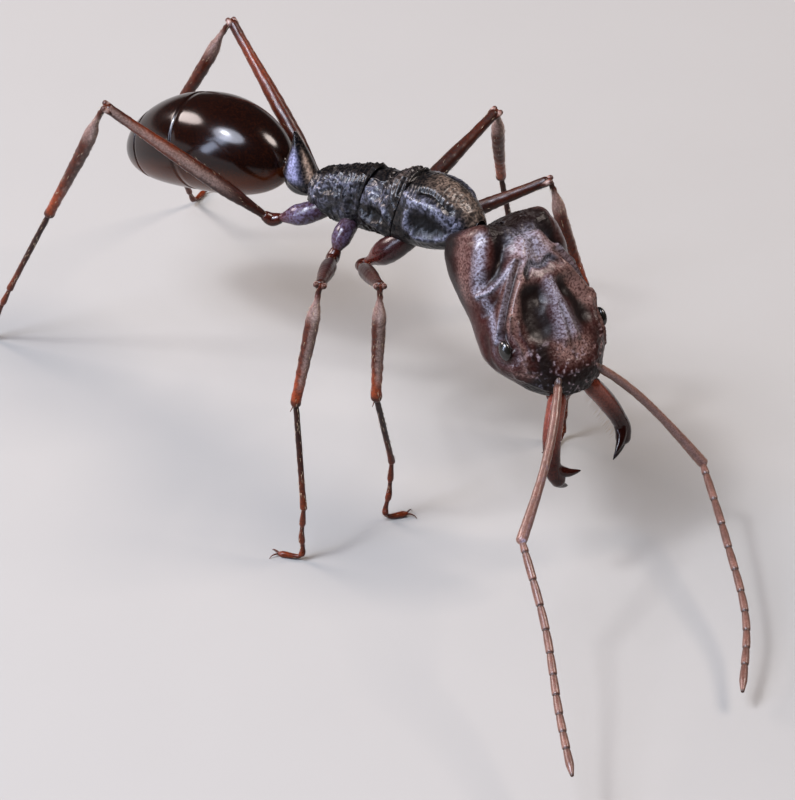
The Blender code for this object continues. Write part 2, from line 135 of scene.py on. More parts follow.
# ---------------------------------------------------------------- sizes of the studio, in mm
FLOOR_REACH, FLOOR_POINTS = 900.0, 24
CAMERA_AIM = (0.070, -3.204)        # how far right of and above the trunk it looks
CAMERA_DISTANCE, CAMERA_LENS, SENSOR_WIDTH = 78.0, 212.6, 36.0
LIGHT_MIDDLE, LIGHT_DISTANCE = np.array((0.0, -0.5, 4.5)), 120.0
# For each light: where it stands and the way its long side lies (both as right, up and toward the
# camera), its length and width, its share of the main light's power, and its colour.
LIGHTS = {
    "Light_core": ((-0.45, 0.55, 0.70), (1, 0, 0), 16, 14, 0.32, "#f4f6ff"),
    "Light_over": ((-0.40, 0.50, 0.76), (1, 0, 0), 75, 60, 0.85, "#e6ecff"),
    "Light_left": ((-0.76, 0.64, 0.02), (0, 0, 1), 70, 36, 0.60, "#ffeeea"),
    "Light_side": ((-0.72, 0.12, 0.66), (-0.61, -0.83, -0.42), 150, 26, 0.60, "#d6e2ff"),
    "Light_right": ((0.62, 0.70, 0.33), (1, 0, 0), 44, 40, 0.50, "#fff0e8"),
}

# ---------------------------------------------------------------- relief of the plates
# Folds and furrows as lines on the plate: height and width in mm, how sharp, and their points.
# On the head the points are (along, out, up) in shares of its length, the same on both sides.
HEAD_RELIEF = {
    "ridge over the eye": (0.06, 0.045, 1.5, (
        (-.27, .145, .01), (-.2, .2, .01), (-.14, .238, .01), (-.05, .288, 0), (.08, .338, -.03),
        (.12, .352, -.05))),
    "groove inside it": (-0.085, 0.06, 2, (
        (-.25, .125, .02), (-.15, .205, .03), (-.06, .262, .017), (.04, .306, 0), (.1, .33, 0),
        (.16, .33, .03))),
    "frontal ridge": (0.075, 0.15, 2.4, (
        (-.33, .05, .01), (-.25, .11, .03), (-.165, .17, .04), (-.05, .238, .04),
        (.03, .278, .03))),
    "rim of the feeler hollow": (0.05, 0.036, 1.6, (
        (.01, .272, .03), (.1, .3, .034), (.155, .291, .055), (.215, .285, .065), (.3, .27, .06))),
    "second rim": (0.035, 0.026, 1.6, (
        (.05, .25, .06), (.11, .262, .07), (.17, .25, .085), (.25, .245, .09))),
    "feeler hollow": (-0.11, 0.215, 2.6, ((-.05, .135, .075), (.03, .158, .085), (.1, .158, .095))),
    "deep end of the hollow": (-0.05, 0.08, 2, ((-.095, .075, .08), (-.03, .085, .09))),
    "scallop": (-0.055, 0.05, 2.2, ((-.185, .118, .05), (-.232, .07, .042), (-.212, .02, .053))),
    "brow bar": (0.02, 0.12, 2, ((-.14, .165, .05), (-.15, .08, .07), (-.145, 0, .08))),
    "frontal lobe": (0.06, 0.085, 2.4, (
        (-.12, .006, .09), (-.02, .01, .105), (.1, .02, .12), (.2, .035, .13))),
    "fold on the temple": (0.055, 0.036, 1.4, (
        (-.135, .328, -.12), (-.145, .298, -.05), (-.185, .252, -.01), (-.235, .2, .008),
        (-.275, .15, .016))),
    "recess behind the fold": (-0.095, 0.11, 2, (
        (-.19, .305, -.08), (-.235, .255, -.03), (-.3, .2, -.015), (-.38, .15, -.01))),
    "valley beside the brow": (-0.045, 0.11, 2, (
        (-.3, .2, -.015), (-.4, .145, -.02), (-.47, .11, -.1))),
    "facet before the fold": (-0.06, 0.11, 2, ((-.04, .33, -.09), (-.095, .305, -.03))),
    "swelling of the temple": (0.07, 0.24, 2, (
        (-.45, .22, -.12), (-.35, .28, -.11), (-.2, .33, -.16))),
    "lobe of the vertex": (0.04, 0.2, 2, ((-.43, .13, -.06), (-.4, .17, -.04))),
    "hollow under the eye": (-0.03, 0.1, 2, ((.1, .36, -.12), (.24, .34, -.12))),
    "bead before the eye": (0.03, 0.06, 2, ((.27, .325, 0), (.31, .3, -.01))),
    "rim over the mouth": (0.04, 0.036, 1.6, ((.33, .285, -.01), (.4, .215, .05), (.45, .15, .08))),
    "line of the vertex": (-0.035, 0.022, 1.6, ((-.34, 0, .01), (-.27, 0, .035), (-.2, 0, .055))),
    "dip between the lobes": (-0.06, 0.09, 2, ((-.48, 0, -.1), (-.42, 0, -.03))),
    "hollow of the brow": (-0.02, 0.14, 2, ((-.34, 0, .01), (-.28, 0, .03))),
    "face between the lobes": (-0.02, 0.05, 2, ((.02, 0, .115), (.1, 0, .12), (.3, 0, .14))),
}
# Colour that follows the head's form: how much, its width in mm, how sharp, and its line. The pale
# marks are mostly painted highlights, the frontal ridge partly its own paler colour.
HEAD_PALE_AND_LIT = {
    "frontal ridge": (0.85, 0.18, 2, (
        (-.33, .04, .01), (-.25, .11, .03), (-.165, .177, .037), (-.03, .25, .03),
        (.05, .285, .023))),
    "rim of the hollow": (0.6, 0.06, 2, (
        (.05, .29, .023), (.12, .296, .042), (.19, .278, .069), (.3, .282, .051))),
    "brow": (0.95, 0.28, 2.4, ((-.35, .04, .01), (-.27, .05, .02))),
    "corner of the face": (0.95, 0.15, 2, ((.2, 0, .135), (.28, .02, .145), (.26, .08, .137))),
    "side of the temple": (0.42, 0.15, 2, (
        (-.44, .27, -.19), (-.36, .313, -.195), (-.25, .331, -.2), (-.16, .334, -.19))),
    "valley": (0.4, 0.05, 2, ((-.274, .222, -.02), (-.215, .253, -.02))),
    "rim over the mouth": (0.7, 0.036, 2, ((.311, .302, .01), (.346, .237, .08), (.38, .18, .1))),
}
# Painted highlights: a streak of reflected light along the temple, and light on the crests and the brow.
HEAD_HIGHLIGHTS = {
    "streak of the temple": (0.65, 0.08, 2.4, (
        (-.42, .235, -.09), (-.378, .256, -.086), (-.287, .29, -.091), (-.195, .316, -.105),
        (-.16, .325, -.118))),
    "arm of the fold": (0.6, 0.055, 2, (
        (-.262, .148, .018), (-.197, .233, -.003), (-.155, .296, -.053), (-.13, .329, -.118))),
    "ridge over the eye": (0.5, 0.036, 2, (
        (-.262, .148, .018), (-.148, .223, .019), (0, .303, -.01), (.118, .35, -.042))),
    "facet before the fold": (0.5, 0.07, 2, (
        (-.115, .323, -.093), (-.011, .327, -.064), (.098, .346, -.042))),
    "flank of the lobe": (0.35, 0.09, 2, ((.03, .03, .115), (.1, .045, .125), (.17, .07, .13))),
    "brow": (0.7, 0.22, 2, ((-.34, .04, .01), (-.27, .05, .02))),
    "frontal lobe": (0.55, 0.1, 2, ((-.11, .006, .083), (.04, .014, .118), (.17, .03, .13))),
}
# Mostly painted shade in the feeler hollows, scallops, valleys and grooves; darker over the mouth and at
# the rear edge too.
HEAD_DARK_AND_SHADE = {
    "feeler hollow": (1, 0.25, 3.2, ((-.06, .135, .07), (.03, .158, .085), (.1, .15, .1))),
    "scallop": (0.95, 0.06, 2.2, (
        (-.16, .125, .055), (-.205, .112, .047), (-.236, .062, .042), (-.208, .015, .054))),
    "valley behind the fold": (0.85, 0.09, 2.2, (
        (-.4, .17, -.04), (-.3, .2, -.03), (-.22, .255, -.03))),
    "groove by the ridge": (0.35, 0.04, 2, (
        (-.2, .17, .03), (-.14, .207, .03), (.006, .286, .014), (.105, .328, 0))),
    "face over the mouth": (0.9, 0.17, 2.6, ((.22, .19, .11), (.3, .19, .11), (.37, .2, .09))),
    "rear edge": (0.9, 0.2, 3, ((-.47, .05, -.06), (-.43, .12, -.04))),
}
# Only on the left side, where the light falls otherwise: a painted gleam behind the brow and a painted
# highlight along the ridge.
HEAD_LEFT_GLEAM = (0.9, 0.075, 2.4, ((-.331, .152, -.006), (-.267, .179, .005)))
HEAD_LEFT_LIT_RIDGE = (0.8, 0.11, 2.4, (
    (-.187, .115, .049), (-.096, .16, .064), (.009, .207, .073), (.05, .235, .07)))
# On the trunk the points are (along, out, up) in mm.
FLANK_RIM = ((-.76, .56, .35), (-.74, .6, .11), (-.97, .61, -.06), (-1.3, .54, -.05), (-1.55, .42, .02))
# Painted warm highlights: sheen on top of the pronotum, a ring on the hump and a glint on the spiracle's
# rim.
TRUNK_WARM_HIGHLIGHTS = {
    "pronotum": {
        "top of the pronotum": (0.75, 0.17, 2.4, (
            (-1.1, .07, .72), (-1.4, .1, .6), (-1.57, .1, .47), (-1.79, .07, .24))),
    },
    "mesothorax": {
        "hump": (0.5, 0.1, 2, ((-.38, .1, .78), (-.36, .3, .68))),
    },
    "propodeum": {
        "rim of the spiracle": (0.9, 0.035, 2, ((.72, .44, 0), (.73, .44, .01))),
    },
}
# Painted blue-grey reflections along the folds and flanks.
TRUNK_COOL_HIGHLIGHTS = {
    "pronotum": {
        "band over the flank lobe": (0.75, 0.11, 2.2, (
            (-.66, .42, .58), (-.84, .47, .52), (-1.12, .47, .49), (-1.37, .44, .36),
            (-1.58, .36, .21))),
        "rim of the flank lobe": (0.65, 0.055, 2, FLANK_RIM),
    },
    "mesothorax": {
        "side": (0.4, 0.13, 2, ((.36, .36, .42), (.1, .36, .46), (-.2, .42, .45))),
        "side fold": (0.45, 0.06, 2, ((.41, .41, .27), (-.06, .44, .31), (-.26, .52, .23))),
    },
    "propodeum": {
        "side": (0.6, 0.13, 2, ((1.37, .4, .17), (1.08, .3, .38), (.6, .33, .42))),
        "flank": (0.3, 0.12, 2, ((1.1, .44, 0), (.85, .44, -.1), (.5, .43, .15))),
    },
}
TRUNK_RELIEF = {
    "pronotum": {
        "hollow of the flank": (-0.07, 0.2, 3, ((-1.22, .55, .18), (-1.03, .58, .2))),
        "rim of the hollow": (0.04, 0.06, 1.8, FLANK_RIM),
        "fold of the shoulder": (0.045, 0.1, 2, (
            (-.66, .44, .58), (-.84, .47, .52), (-1.12, .47, .49), (-1.37, .44, .36))),
        "groove above the fold": (-0.045, 0.06, 2, (
            (-.95, .34, .68), (-1.12, .31, .65), (-1.48, .33, .42))),
    },
    "mesothorax": {
        "hump": (0.02, 0.12, 2, ((-.36, 0, .8), (-.36, .25, .74))),
        "groove behind the hump": (-0.06, 0.05, 2, (
            (-.12, 0, .74), (-.08, .3, .62), (-.05, .45, .4))),
        "side fold": (0.045, 0.05, 1.7, (
            (.34, .44, .3), (.1, .46, .36), (-.2, .52, .26), (-.38, .56, .05))),
        "pit over the fold": (-0.06, 0.06, 2, ((.02, .42, .5), (-.12, .46, .5))),
        "pit under the fold": (-0.07, 0.09, 2, ((.1, .46, .12), (-.12, .5, .04))),
        "lower fold": (0.04, 0.05, 1.8, ((.36, .44, .02), (.15, .46, -.08), (-.12, .48, -.15))),
    },
    "propodeum": {
        "spiracle rim": (0.025, 0.035, 1.6, ((.71, .44, .01), (.73, .44, 0))),
        "groove before the spiracle": (-0.03, 0.06, 2, (
            (.52, .43, .3), (.6, .45, .05), (.55, .44, -.2))),
        "flank swelling": (0.03, 0.14, 2, ((.95, .44, .2), (1.25, .43, .05))),
        "edge of the back": (0.035, 0.04, 1.6, ((.45, .34, .62), (.8, .35, .47), (1.15, .33, .36))),
        "hollow under the edge": (-0.03, 0.07, 2, (
            (.55, .42, .45), (.85, .43, .33), (1.15, .42, .24))),
        "pit before the spiracle": (-0.05, 0.07, 2, ((.98, .44, -.02), (1.06, .43, -.1))),
    },
}
THIN_FOLD = 0.045                   # ridges up to this width in mm get the painted shade of the hollows


# ---------------------------------------------------------------- drawing
def linear(colour):
    """An sRGB hex colour as the linear values a shader takes."""
    parts = [int(colour[i:i + 2], 16) / 255 for i in (1, 3, 5)]
    return tuple(c / 12.92 if c <= 0.04045 else ((c + 0.055) / 1.055) ** 2.4 for c in parts)


def unit(vector):
    vector = np.asarray(vector, float)
    return vector / np.maximum(np.linalg.norm(vector, axis=-1, keepdims=True), 1e-12)


def turn_about_x(degrees):
    angle = math.radians(degrees)
    return np.array(((1, 0, 0), (0, math.cos(angle), -math.sin(angle)),
                     (0, math.sin(angle), math.cos(angle))))


def eased(low, high, x):
    """0 below low, 1 above high, and a smooth step between them."""
    t = np.clip((np.asarray(x, float) - low) / (high - low), 0, 1)
    return t * t * (3 - 2 * t)


def smooth(stations, column, along):
    """One column of a table of stations, as a smooth curve through them."""
    table = np.array(stations, float)
    xs, ys = table[:, 0], table[:, column]
    step = np.diff(xs)
    slope = np.diff(ys) / step
    tangent = np.concatenate((slope[:1], (slope[:-1] * step[1:] + slope[1:] * step[:-1])
                              / (step[:-1] + step[1:]), slope[-1:]))
    i = np.clip(np.searchsorted(xs, along) - 1, 0, len(xs) - 2)
    t = (along - xs[i]) / step[i]
    return ((2 * t**3 - 3 * t**2 + 1) * ys[i] + (t**3 - 2 * t**2 + t) * step[i] * tangent[i]
            + (3 * t**2 - 2 * t**3) * ys[i + 1] + (t**3 - t**2) * step[i] * tangent[i + 1])


def curve(points, count):
    """A smooth curve through a few points, with evenly spaced points."""
    points = np.array(points, float)
    reach = np.concatenate(((0,), np.cumsum(np.linalg.norm(np.diff(points, axis=0), axis=1))))
    at = np.linspace(0, reach[-1], count)
    return np.stack([smooth(np.stack((reach, points[:, k]), 1), 1, at) for k in range(3)], 1)


def distance_to(points, line):
    """The distance of each point from a line of points."""
    best = np.full(points.shape[:-1], np.inf)
    line = np.asarray(line, float)
    for start, end in zip(line[:-1], line[1:]):
        way = end - start
        t = np.clip((points - start) @ way / (way @ way), 0, 1)
        best = np.minimum(best, np.linalg.norm(points - start - t[..., None] * way, axis=-1))
    return best


def mark_on(points, mark, scale=1.0):
    """How strong one mark is at each point: its share on its line, falling off beyond its width."""
    share, width, sharp, line = mark
    return share * np.exp(-(distance_to(points, np.array(line) * scale) / width) ** sharp)


def marks_on(points, marks, scale=1.0):
    """How strong the strongest mark of a table is at each point."""
    return np.max([mark_on(points, mark, scale) for mark in marks.values()], axis=0)


def relief(points, folds, scale=1.0):
    """Height over the plate, and how much of a ridge and of a hollow each point is."""
    height = np.zeros(points.shape[:-1])
    ridge, hollow = height.copy(), height.copy()
    for rise, width, sharp, line in folds.values():
        near = mark_on(points, (1.0, width, sharp, line), scale)
        height += rise * near
        if rise > 0 and width > THIN_FOLD:
            ridge = np.maximum(ridge, near)
        else:
            hollow = np.maximum(hollow, near)
    return height, ridge, hollow


def noise(points, size, seed):
    """Smooth seeded noise from 0 to 1, in lumps of about this size in mm."""
    cells = 24                      # before it repeats
    lattice = np.random.default_rng(seed).random((cells, cells, cells))
    at = np.asarray(points, float) / size
    low = np.floor(at).astype(int)
    t = at - low
    t = t * t * (3 - 2 * t)
    total = 0.0
    for corner in np.ndindex(2, 2, 2):
        i, j, k = np.moveaxis((low + corner) % cells, -1, 0)
        share = np.prod(np.where(corner, t, 1 - t), axis=-1)
        total = total + share * lattice[i, j, k]
    return total


def wrinkles(points, size, seed):
    """Narrow raised lines that wander over a plate, from 0 to 1."""
    return (1 - np.abs(2 * noise(points, size, seed) - 1)) ** 3


def round_angles(count):
    """The angles of points spaced evenly round a ring."""
    return 2 * np.pi * np.arange(count) / count


def superellipse(count):
    """Points round a squarish ring of radius 1."""
    cosine, sine = np.cos(round_angles(count)), np.sin(round_angles(count))
    return (np.sign(cosine) * np.abs(cosine) ** (2 / SQUARE),
            np.sign(sine) * np.abs(sine) ** (2 / SQUARE))


def outward(points):
    """Normals of a closed grid of rings, pointing away from the rings' middles."""
    around = np.roll(points, -1, 1) - np.roll(points, 1, 1)
    along = np.gradient(points, axis=0)
    normal = unit(np.cross(along, around))
    away = points - points.mean(axis=1, keepdims=True)
    return normal * np.sign((normal * away).sum(-1).mean())


def grid_faces(rows, columns, closed=True):
    """Four-sided faces between the points of a grid, closed round its columns or open."""
    i, j = np.meshgrid(np.arange(rows - 1), np.arange(columns if closed else columns - 1),
                       indexing="ij")
    k = (j + 1) % columns
    return np.stack((i * columns + j, i * columns + k, (i + 1) * columns + k,
                     (i + 1) * columns + j), -1).reshape(-1, 4).tolist()


class Drawing:
    """Surfaces in mm, with where each point lies on its plate and how it is marked."""

    def __init__(self):
        self.points, self.faces, self.drawn = [], [], []
        # The marks: a pale tint that also carries painted highlights, a shade that is painted shade in
        # hollows and dark parts elsewhere, and painted highlights.
        self.marks = {"tint": [], "shade": [], "bloom": []}
        self.skins = []             # the rings of each tube, which its hairs grow from
        self.patches = []           # each hair's patch on the unwrap
        self.count = 0

    def add(self, points, faces, drawn, **marks):
        points = points.reshape(-1, 3)
        self.points.append(points)
        self.drawn.append(drawn.reshape(-1, 3))
        for key, values in self.marks.items():
            values.append(np.broadcast_to(np.ravel(marks.get(key, 0.0)), len(points)))
        self.faces += [[self.count + corner for corner in face] for face in faces]
        self.count += len(points)

    def rings(self, rings, drawn, **marks):
        """A skin over rings of points, closed over both ends. A mark is one value for each ring
        or point."""
        rows, columns = rings.shape[:2]
        faces = grid_faces(rows, columns)
        faces.append(list(range(columns)))
        faces.append(list(range(rows * columns - 1, (rows - 1) * columns - 1, -1)))
        marks = {key: np.repeat(mark, columns) if np.shape(mark) == (rows,) else mark
                 for key, mark in marks.items()}
        self.add(rings, faces, drawn, **marks)

    def tube(self, path, radii, sides=16, flatten=1.0, up=(0, 0, 1), cap=4, rough=0.0, streak=0.0,
             **marks):
        """A skin round a path, with round ends. Flatten narrows it along the way up, cap is the
        rings of each end, and streak is how strong a painted highlight line is on its front, outer side."""
        way = unit(np.gradient(path, axis=0))
        marks = {key: np.broadcast_to(np.asarray(mark, float), len(path))
                 for key, mark in marks.items()}
        angle = np.pi / 2 * (1 - (np.arange(cap) + 0.3) / cap)
        head = path[0] - way[0] * (radii[0] * np.sin(angle))[:, None] * ROUND_END
        tail = path[-1] + way[-1] * (radii[-1] * np.sin(angle[::-1]))[:, None] * ROUND_END
        path = np.concatenate((head, path, tail))
        way = np.concatenate((np.repeat(way[:1], cap, 0), way, np.repeat(way[-1:], cap, 0)))
        radii = np.concatenate((radii[0] * np.cos(angle), radii, radii[-1] * np.cos(angle[::-1])))
        marks = {key: np.pad(mark, cap, mode="edge") for key, mark in marks.items()}
        side = unit(np.cross(way, np.array(up, float)) + 1e-9)
        over = unit(np.cross(side, way))
        width = radii[:, None] * np.cos(round_angles(sides))
        height = radii[:, None] * np.sin(round_angles(sides)) * flatten
        rings = path[:, None] + side[:, None] * width[..., None] + over[:, None] * height[..., None]
        reach = np.concatenate(((0,), np.cumsum(np.linalg.norm(np.diff(path, axis=0), axis=1))))
        drawn = np.stack((width, np.broadcast_to(reach[:, None], width.shape), height), -1)
        if rough:
            rings = rings + outward(rings) * (rough * (noise(drawn, ROUGH_SIZE, 11) - 0.5))[..., None]
        # A painted highlight line along the front, outer side.
        if np.any(streak):
            outer = math.copysign(HIGHLIGHT_SIDE[0], path[0, 0] - STAND_AT[0])
            facing = outward(rings) @ unit((outer, *HIGHLIGHT_SIDE[1:]))
            share = streak if np.ndim(streak) == 0 else np.pad(streak, cap, mode="edge")[:, None]
            bloom = marks.get("bloom", np.zeros(len(path)))[:, None]
            marks["bloom"] = np.clip(bloom + share * eased(0.72, 0.97, facing), 0, 1)
        self.rings(rings, drawn, **marks)
        self.skins.append(rings)

    def build(self, name, material, slot, replaces=()):
        """Makes the piece, which rides the body and takes the place of the solids that it names."""
        mesh = bpy.data.meshes.new(name)
        mesh.from_pydata((np.concatenate(self.points) * MM).tolist(), [], self.faces)
        mesh.validate()
        drawn = mesh.attributes.new("drawn", "FLOAT_VECTOR", "POINT")
        drawn.data.foreach_set("vector", np.concatenate(self.drawn).ravel().astype(np.float32))
        for key, values in self.marks.items():
            mark = mesh.attributes.new(key, "FLOAT", "POINT")
            mark.data.foreach_set("value", np.concatenate(values).astype(np.float32))
        if self.patches:
            layer = mesh.uv_layers.new(name="OFBake")
            layer.data.foreach_set("uv", np.concatenate(self.patches).ravel().astype(np.float32))
        mesh.shade_smooth()
        mesh.materials.append(material)
        made = bpy.data.objects.new(name, mesh)
        bpy.context.scene.collection.objects.link(made)
        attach(made, "root")
        if replaces:
            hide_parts(*replaces)


# ---------------------------------------------------------------- frames of the body
def head_axes():
    """Columns: the head's left, its back and its top."""
    front = unit(HEAD_ANTERIOR)
    left = unit(HEAD_LEFT - front * (HEAD_LEFT @ front))
    return np.stack((left, -front, np.cross(left, -front)), 1)


HEAD_AXES = head_axes()


def on_head(along, out, up):
    """A place on the head, in shares of its length, in the model's frame."""
    local = np.stack(np.broadcast_arrays(out, -np.asarray(along), up), -1) * HEAD_LENGTH
    return local @ HEAD_AXES.T + HEAD_AT + STAND_AT


def on_trunk(points):
    return points @ turn_about_x(TRUNK_PITCH).T + TRUNK_AT + STAND_AT


def on_gaster(points):
    return points @ turn_about_x(-GASTER_PITCH).T + GASTER_AT + STAND_AT


# ---------------------------------------------------------------- materials
def add(tree, kind, inputs=(), **settings):
    """Adds one node, sets it, and fills or links its inputs."""
    node = tree.nodes.new(kind)
    for key, value in settings.items():
        setattr(node, key, value)
    for key, value in dict(inputs).items():
        if isinstance(value, bpy.types.NodeSocket):
            tree.links.new(value, node.inputs[key])
        else:
            node.inputs[key].default_value = value
    return node


def cuticle(name, base, tint, shade, bloom, rough=(0.2, 0.35), mottle=0.25,
            mottle_mm=0.25, pits_mm=0.05, pits=2.0, dull=0.10, ior=1.50, coat=0.0, sheen=0.0,
            sheen_colour="#9aa0b4"):
    """Insect cuticle: layers of chitin hardened and darkened in place. It gives a deep colour under
    a clear gloss, and its pits and striae break the gloss up. Pits are in thousandths of a mm."""
    made = bpy.data.materials.new(name)
    made.use_nodes = True
    tree = made.node_tree
    shader = tree.nodes["Principled BSDF"]
    drawn = add(tree, "ShaderNodeAttribute", attribute_name="drawn").outputs["Vector"]
    tinted, shaded, highlighted = (add(tree, "ShaderNodeAttribute", attribute_name=key).outputs["Fac"]
                               for key in ("tint", "shade", "bloom"))
    cloud = add(tree, "ShaderNodeTexNoise", {"Vector": drawn, "Scale": 1 / mottle_mm, "Detail": 4.0,
                                             "Roughness": 0.65}).outputs["Fac"]
    fine = add(tree, "ShaderNodeTexNoise", {"Vector": drawn, "Scale": 1 / pits_mm,
                                            "Detail": 2.0}).outputs["Fac"]
    cells = add(tree, "ShaderNodeTexVoronoi", {"Vector": drawn, "Scale": 1 / pits_mm},
                feature="F1").outputs["Distance"]
    patch = add(tree, "ShaderNodeMapRange", {"Value": cloud, "From Min": 0.40, "From Max": 0.66,
                                             "To Min": 0.0, "To Max": mottle}).outputs["Result"]
    speck = add(tree, "ShaderNodeMapRange", {"Value": fine, "From Min": 0.45, "From Max": 0.75,
                                             "To Min": 0.0, "To Max": mottle * 0.4}).outputs["Result"]
    # On a pitted plate the pale tint and the painted highlight are grainy too.
    grainy = min(1.0, pits / 2)
    grain = add(tree, "ShaderNodeMapRange", {
        "Value": fine, "From Min": 0.38, "From Max": 0.62, "To Min": 1 - 0.75 * grainy,
        "To Max": 1 + 0.45 * grainy}).outputs["Result"]
    tinted, highlighted = (add(tree, "ShaderNodeMath", {0: mask, 1: grain}, operation="MULTIPLY",
                           use_clamp=True).outputs[0] for mask in (tinted, highlighted))
    colour = (*base, 1)
    for share, over in ((tinted, tint), (patch, shade), (speck, tint), (shaded, shade),
                        (highlighted, bloom)):
        colour = add(tree, "ShaderNodeMix", {0: share, 6: colour, 7: (*linear(over), 1)},
                     data_type="RGBA").outputs[2]
    height = add(tree, "ShaderNodeMath", {0: cells, 1: 0.35}, operation="MINIMUM").outputs[0]
    bump = add(tree, "ShaderNodeBump", {"Height": height, "Distance": pits * 1e-6, "Strength": 1.0})
    polish = add(tree, "ShaderNodeMapRange", {"Value": cloud, "From Min": 0.3, "From Max": 0.7,
                                              "To Min": rough[0], "To Max": rough[1]}).outputs["Result"]
    worn = add(tree, "ShaderNodeMath", {0: shaded, 1: dull, 2: polish},
               operation="MULTIPLY_ADD").outputs[0]
    tree.links.new(colour, shader.inputs["Base Color"])
    tree.links.new(worn, shader.inputs["Roughness"])
    tree.links.new(bump.outputs[0], shader.inputs["Normal"])
    for socket, value in (("IOR", ior), ("Coat Weight", coat), ("Coat Roughness", 0.08),
                          ("Sheen Weight", sheen), ("Sheen Roughness", 0.45),
                          ("Sheen Tint", (*linear(sheen_colour), 1))):
        shader.inputs[socket].default_value = value
    return made


# Each kind of surface: its name, the panel's colour or its own, the colours of its pale tint,
# which also paints highlights, of its shade and of its painted highlight, and how rough, mottled
# and pitted it is. Sizes of patterns are in mm.
CUTICLES = {
    # Hard striate cuticle of the head: deep red-brown, satin, pitted, with painted highlights on its
    # ridges.
    "head": ("Head cuticle, striate", "head", "#7e6058", "#0a0302", "#8a8894", dict(
        rough=(0.25, 0.34), mottle=0.30, mottle_mm=0.35, pits_mm=0.036, pits=4.6, dull=0.14,
        ior=1.33)),
    # Coarsely wrinkled cuticle of the trunk: black, with painted blue-grey reflections on its folds.
    "trunk": ("Trunk cuticle, wrinkled", "trunk", "#6c5c50", "#010102", "#6a6b7a", dict(
        rough=(0.22, 0.34), mottle=0.35, mottle_mm=0.15, pits_mm=0.040, pits=3.5, dull=0.08,
        ior=1.35)),
    # Smooth cuticle of the petiole, with a few shallow pits and painted tan and lilac highlights.
    "petiole": ("Petiole cuticle, smooth", "trunk", "#a08a7a", "#040405", "#8c8cac", dict(
        rough=(0.18, 0.26), pits_mm=0.04, pits=1.5, ior=1.38)),
    # Polished cuticle of the gaster: black-brown under a clear gloss, almost without pits.
    "gaster": ("Gaster cuticle, polished", "gaster", "#6a3010", "#030101", "#8a8698", dict(
        rough=(0.13, 0.19), mottle=0.2, mottle_mm=0.6, pits_mm=0.03, pits=0.25, ior=1.37)),
    # Polished red-brown cuticle of the jaws, darker at the teeth.
    "jaw": ("Jaw cuticle, polished", "jaw", "#8a4636", "#0a0302", "#9a7a70", dict(
        rough=(0.14, 0.20), mottle=0.3, mottle_mm=0.2, pits_mm=0.04, pits=0.8, dull=0.0,
        ior=1.36)),
    # Polished cuticle of the coxae: red-brown with dark ends, and a purple painted highlight.
    "coxa": ("Coxa cuticle, polished", "#260b06", "#5a2010", "#050203", "#524a5e", dict(
        rough=(0.18, 0.28), mottle=0.3, mottle_mm=0.2, pits_mm=0.04, pits=2.5, ior=1.40)),
    # Leg cuticle: brown and mottled, orange-red at the joints, with a painted highlight on the upper shin.
    "leg": ("Leg cuticle, downy", "leg", "#8a3814", "#0c0302", "#9c867c", dict(
        rough=(0.26, 0.38), mottle=0.50, mottle_mm=0.10, pits_mm=0.03, pits=1.0, ior=1.36)),
    # Feeler cuticle: tan, finely downy, pinkish along the middle, with a painted lilac highlight line on
    # the scapes.
    "feeler": ("Feeler cuticle, downy", "feeler", "#866154", "#140a08", "#9a96aa", dict(
        rough=(0.26, 0.38), mottle=0.35, mottle_mm=0.10, pits_mm=0.025, pits=1.5, ior=1.45,
        sheen=0.08, sheen_colour="#e6cfa4")),
    # Lenses of the eye: black under clear facets. A facet is 0.02 mm; drawn as 0.03 to show.
    "eye": ("Eye facets, clear", "#12100c", "#2c2a22", "#070605", "#8a8698", dict(
        rough=(0.20, 0.28), mottle=0.4, mottle_mm=0.1, pits_mm=0.03, pits=3.0, coat=0.3)),
    # Soft skin between the plates, dull and dark.
    "skin": ("Joint skin, dull", "#0c0706", "#1a0f0c", "#050303", "#8a8698", dict(
        rough=(0.5, 0.65), mottle=0.3, pits_mm=0.03, pits=2.0)),
    # Hairs: clear golden bristles.
    "hair": ("Bristle, golden", "hair", "#d8c3a2", "#3a2a1c", "#8a8698", dict(
        rough=(0.3, 0.4), mottle=0.2, mottle_mm=0.05, pits=0.0)),
}
FINISHES = {}                       # the materials, once they are made
SKINS = {}                          # the skins of the limbs, which their hairs grow from


def finish(kind):
    """The material of one kind of surface, made once."""
    if kind not in FINISHES:
        name, base, *colours, settings = CUTICLES[kind]
        base = linear(base) if base[0] == "#" else getattr(bpy.context.scene.ant_look, base)
        FINISHES[kind] = cuticle(name, base, *colours, **settings)
    return FINISHES[kind]


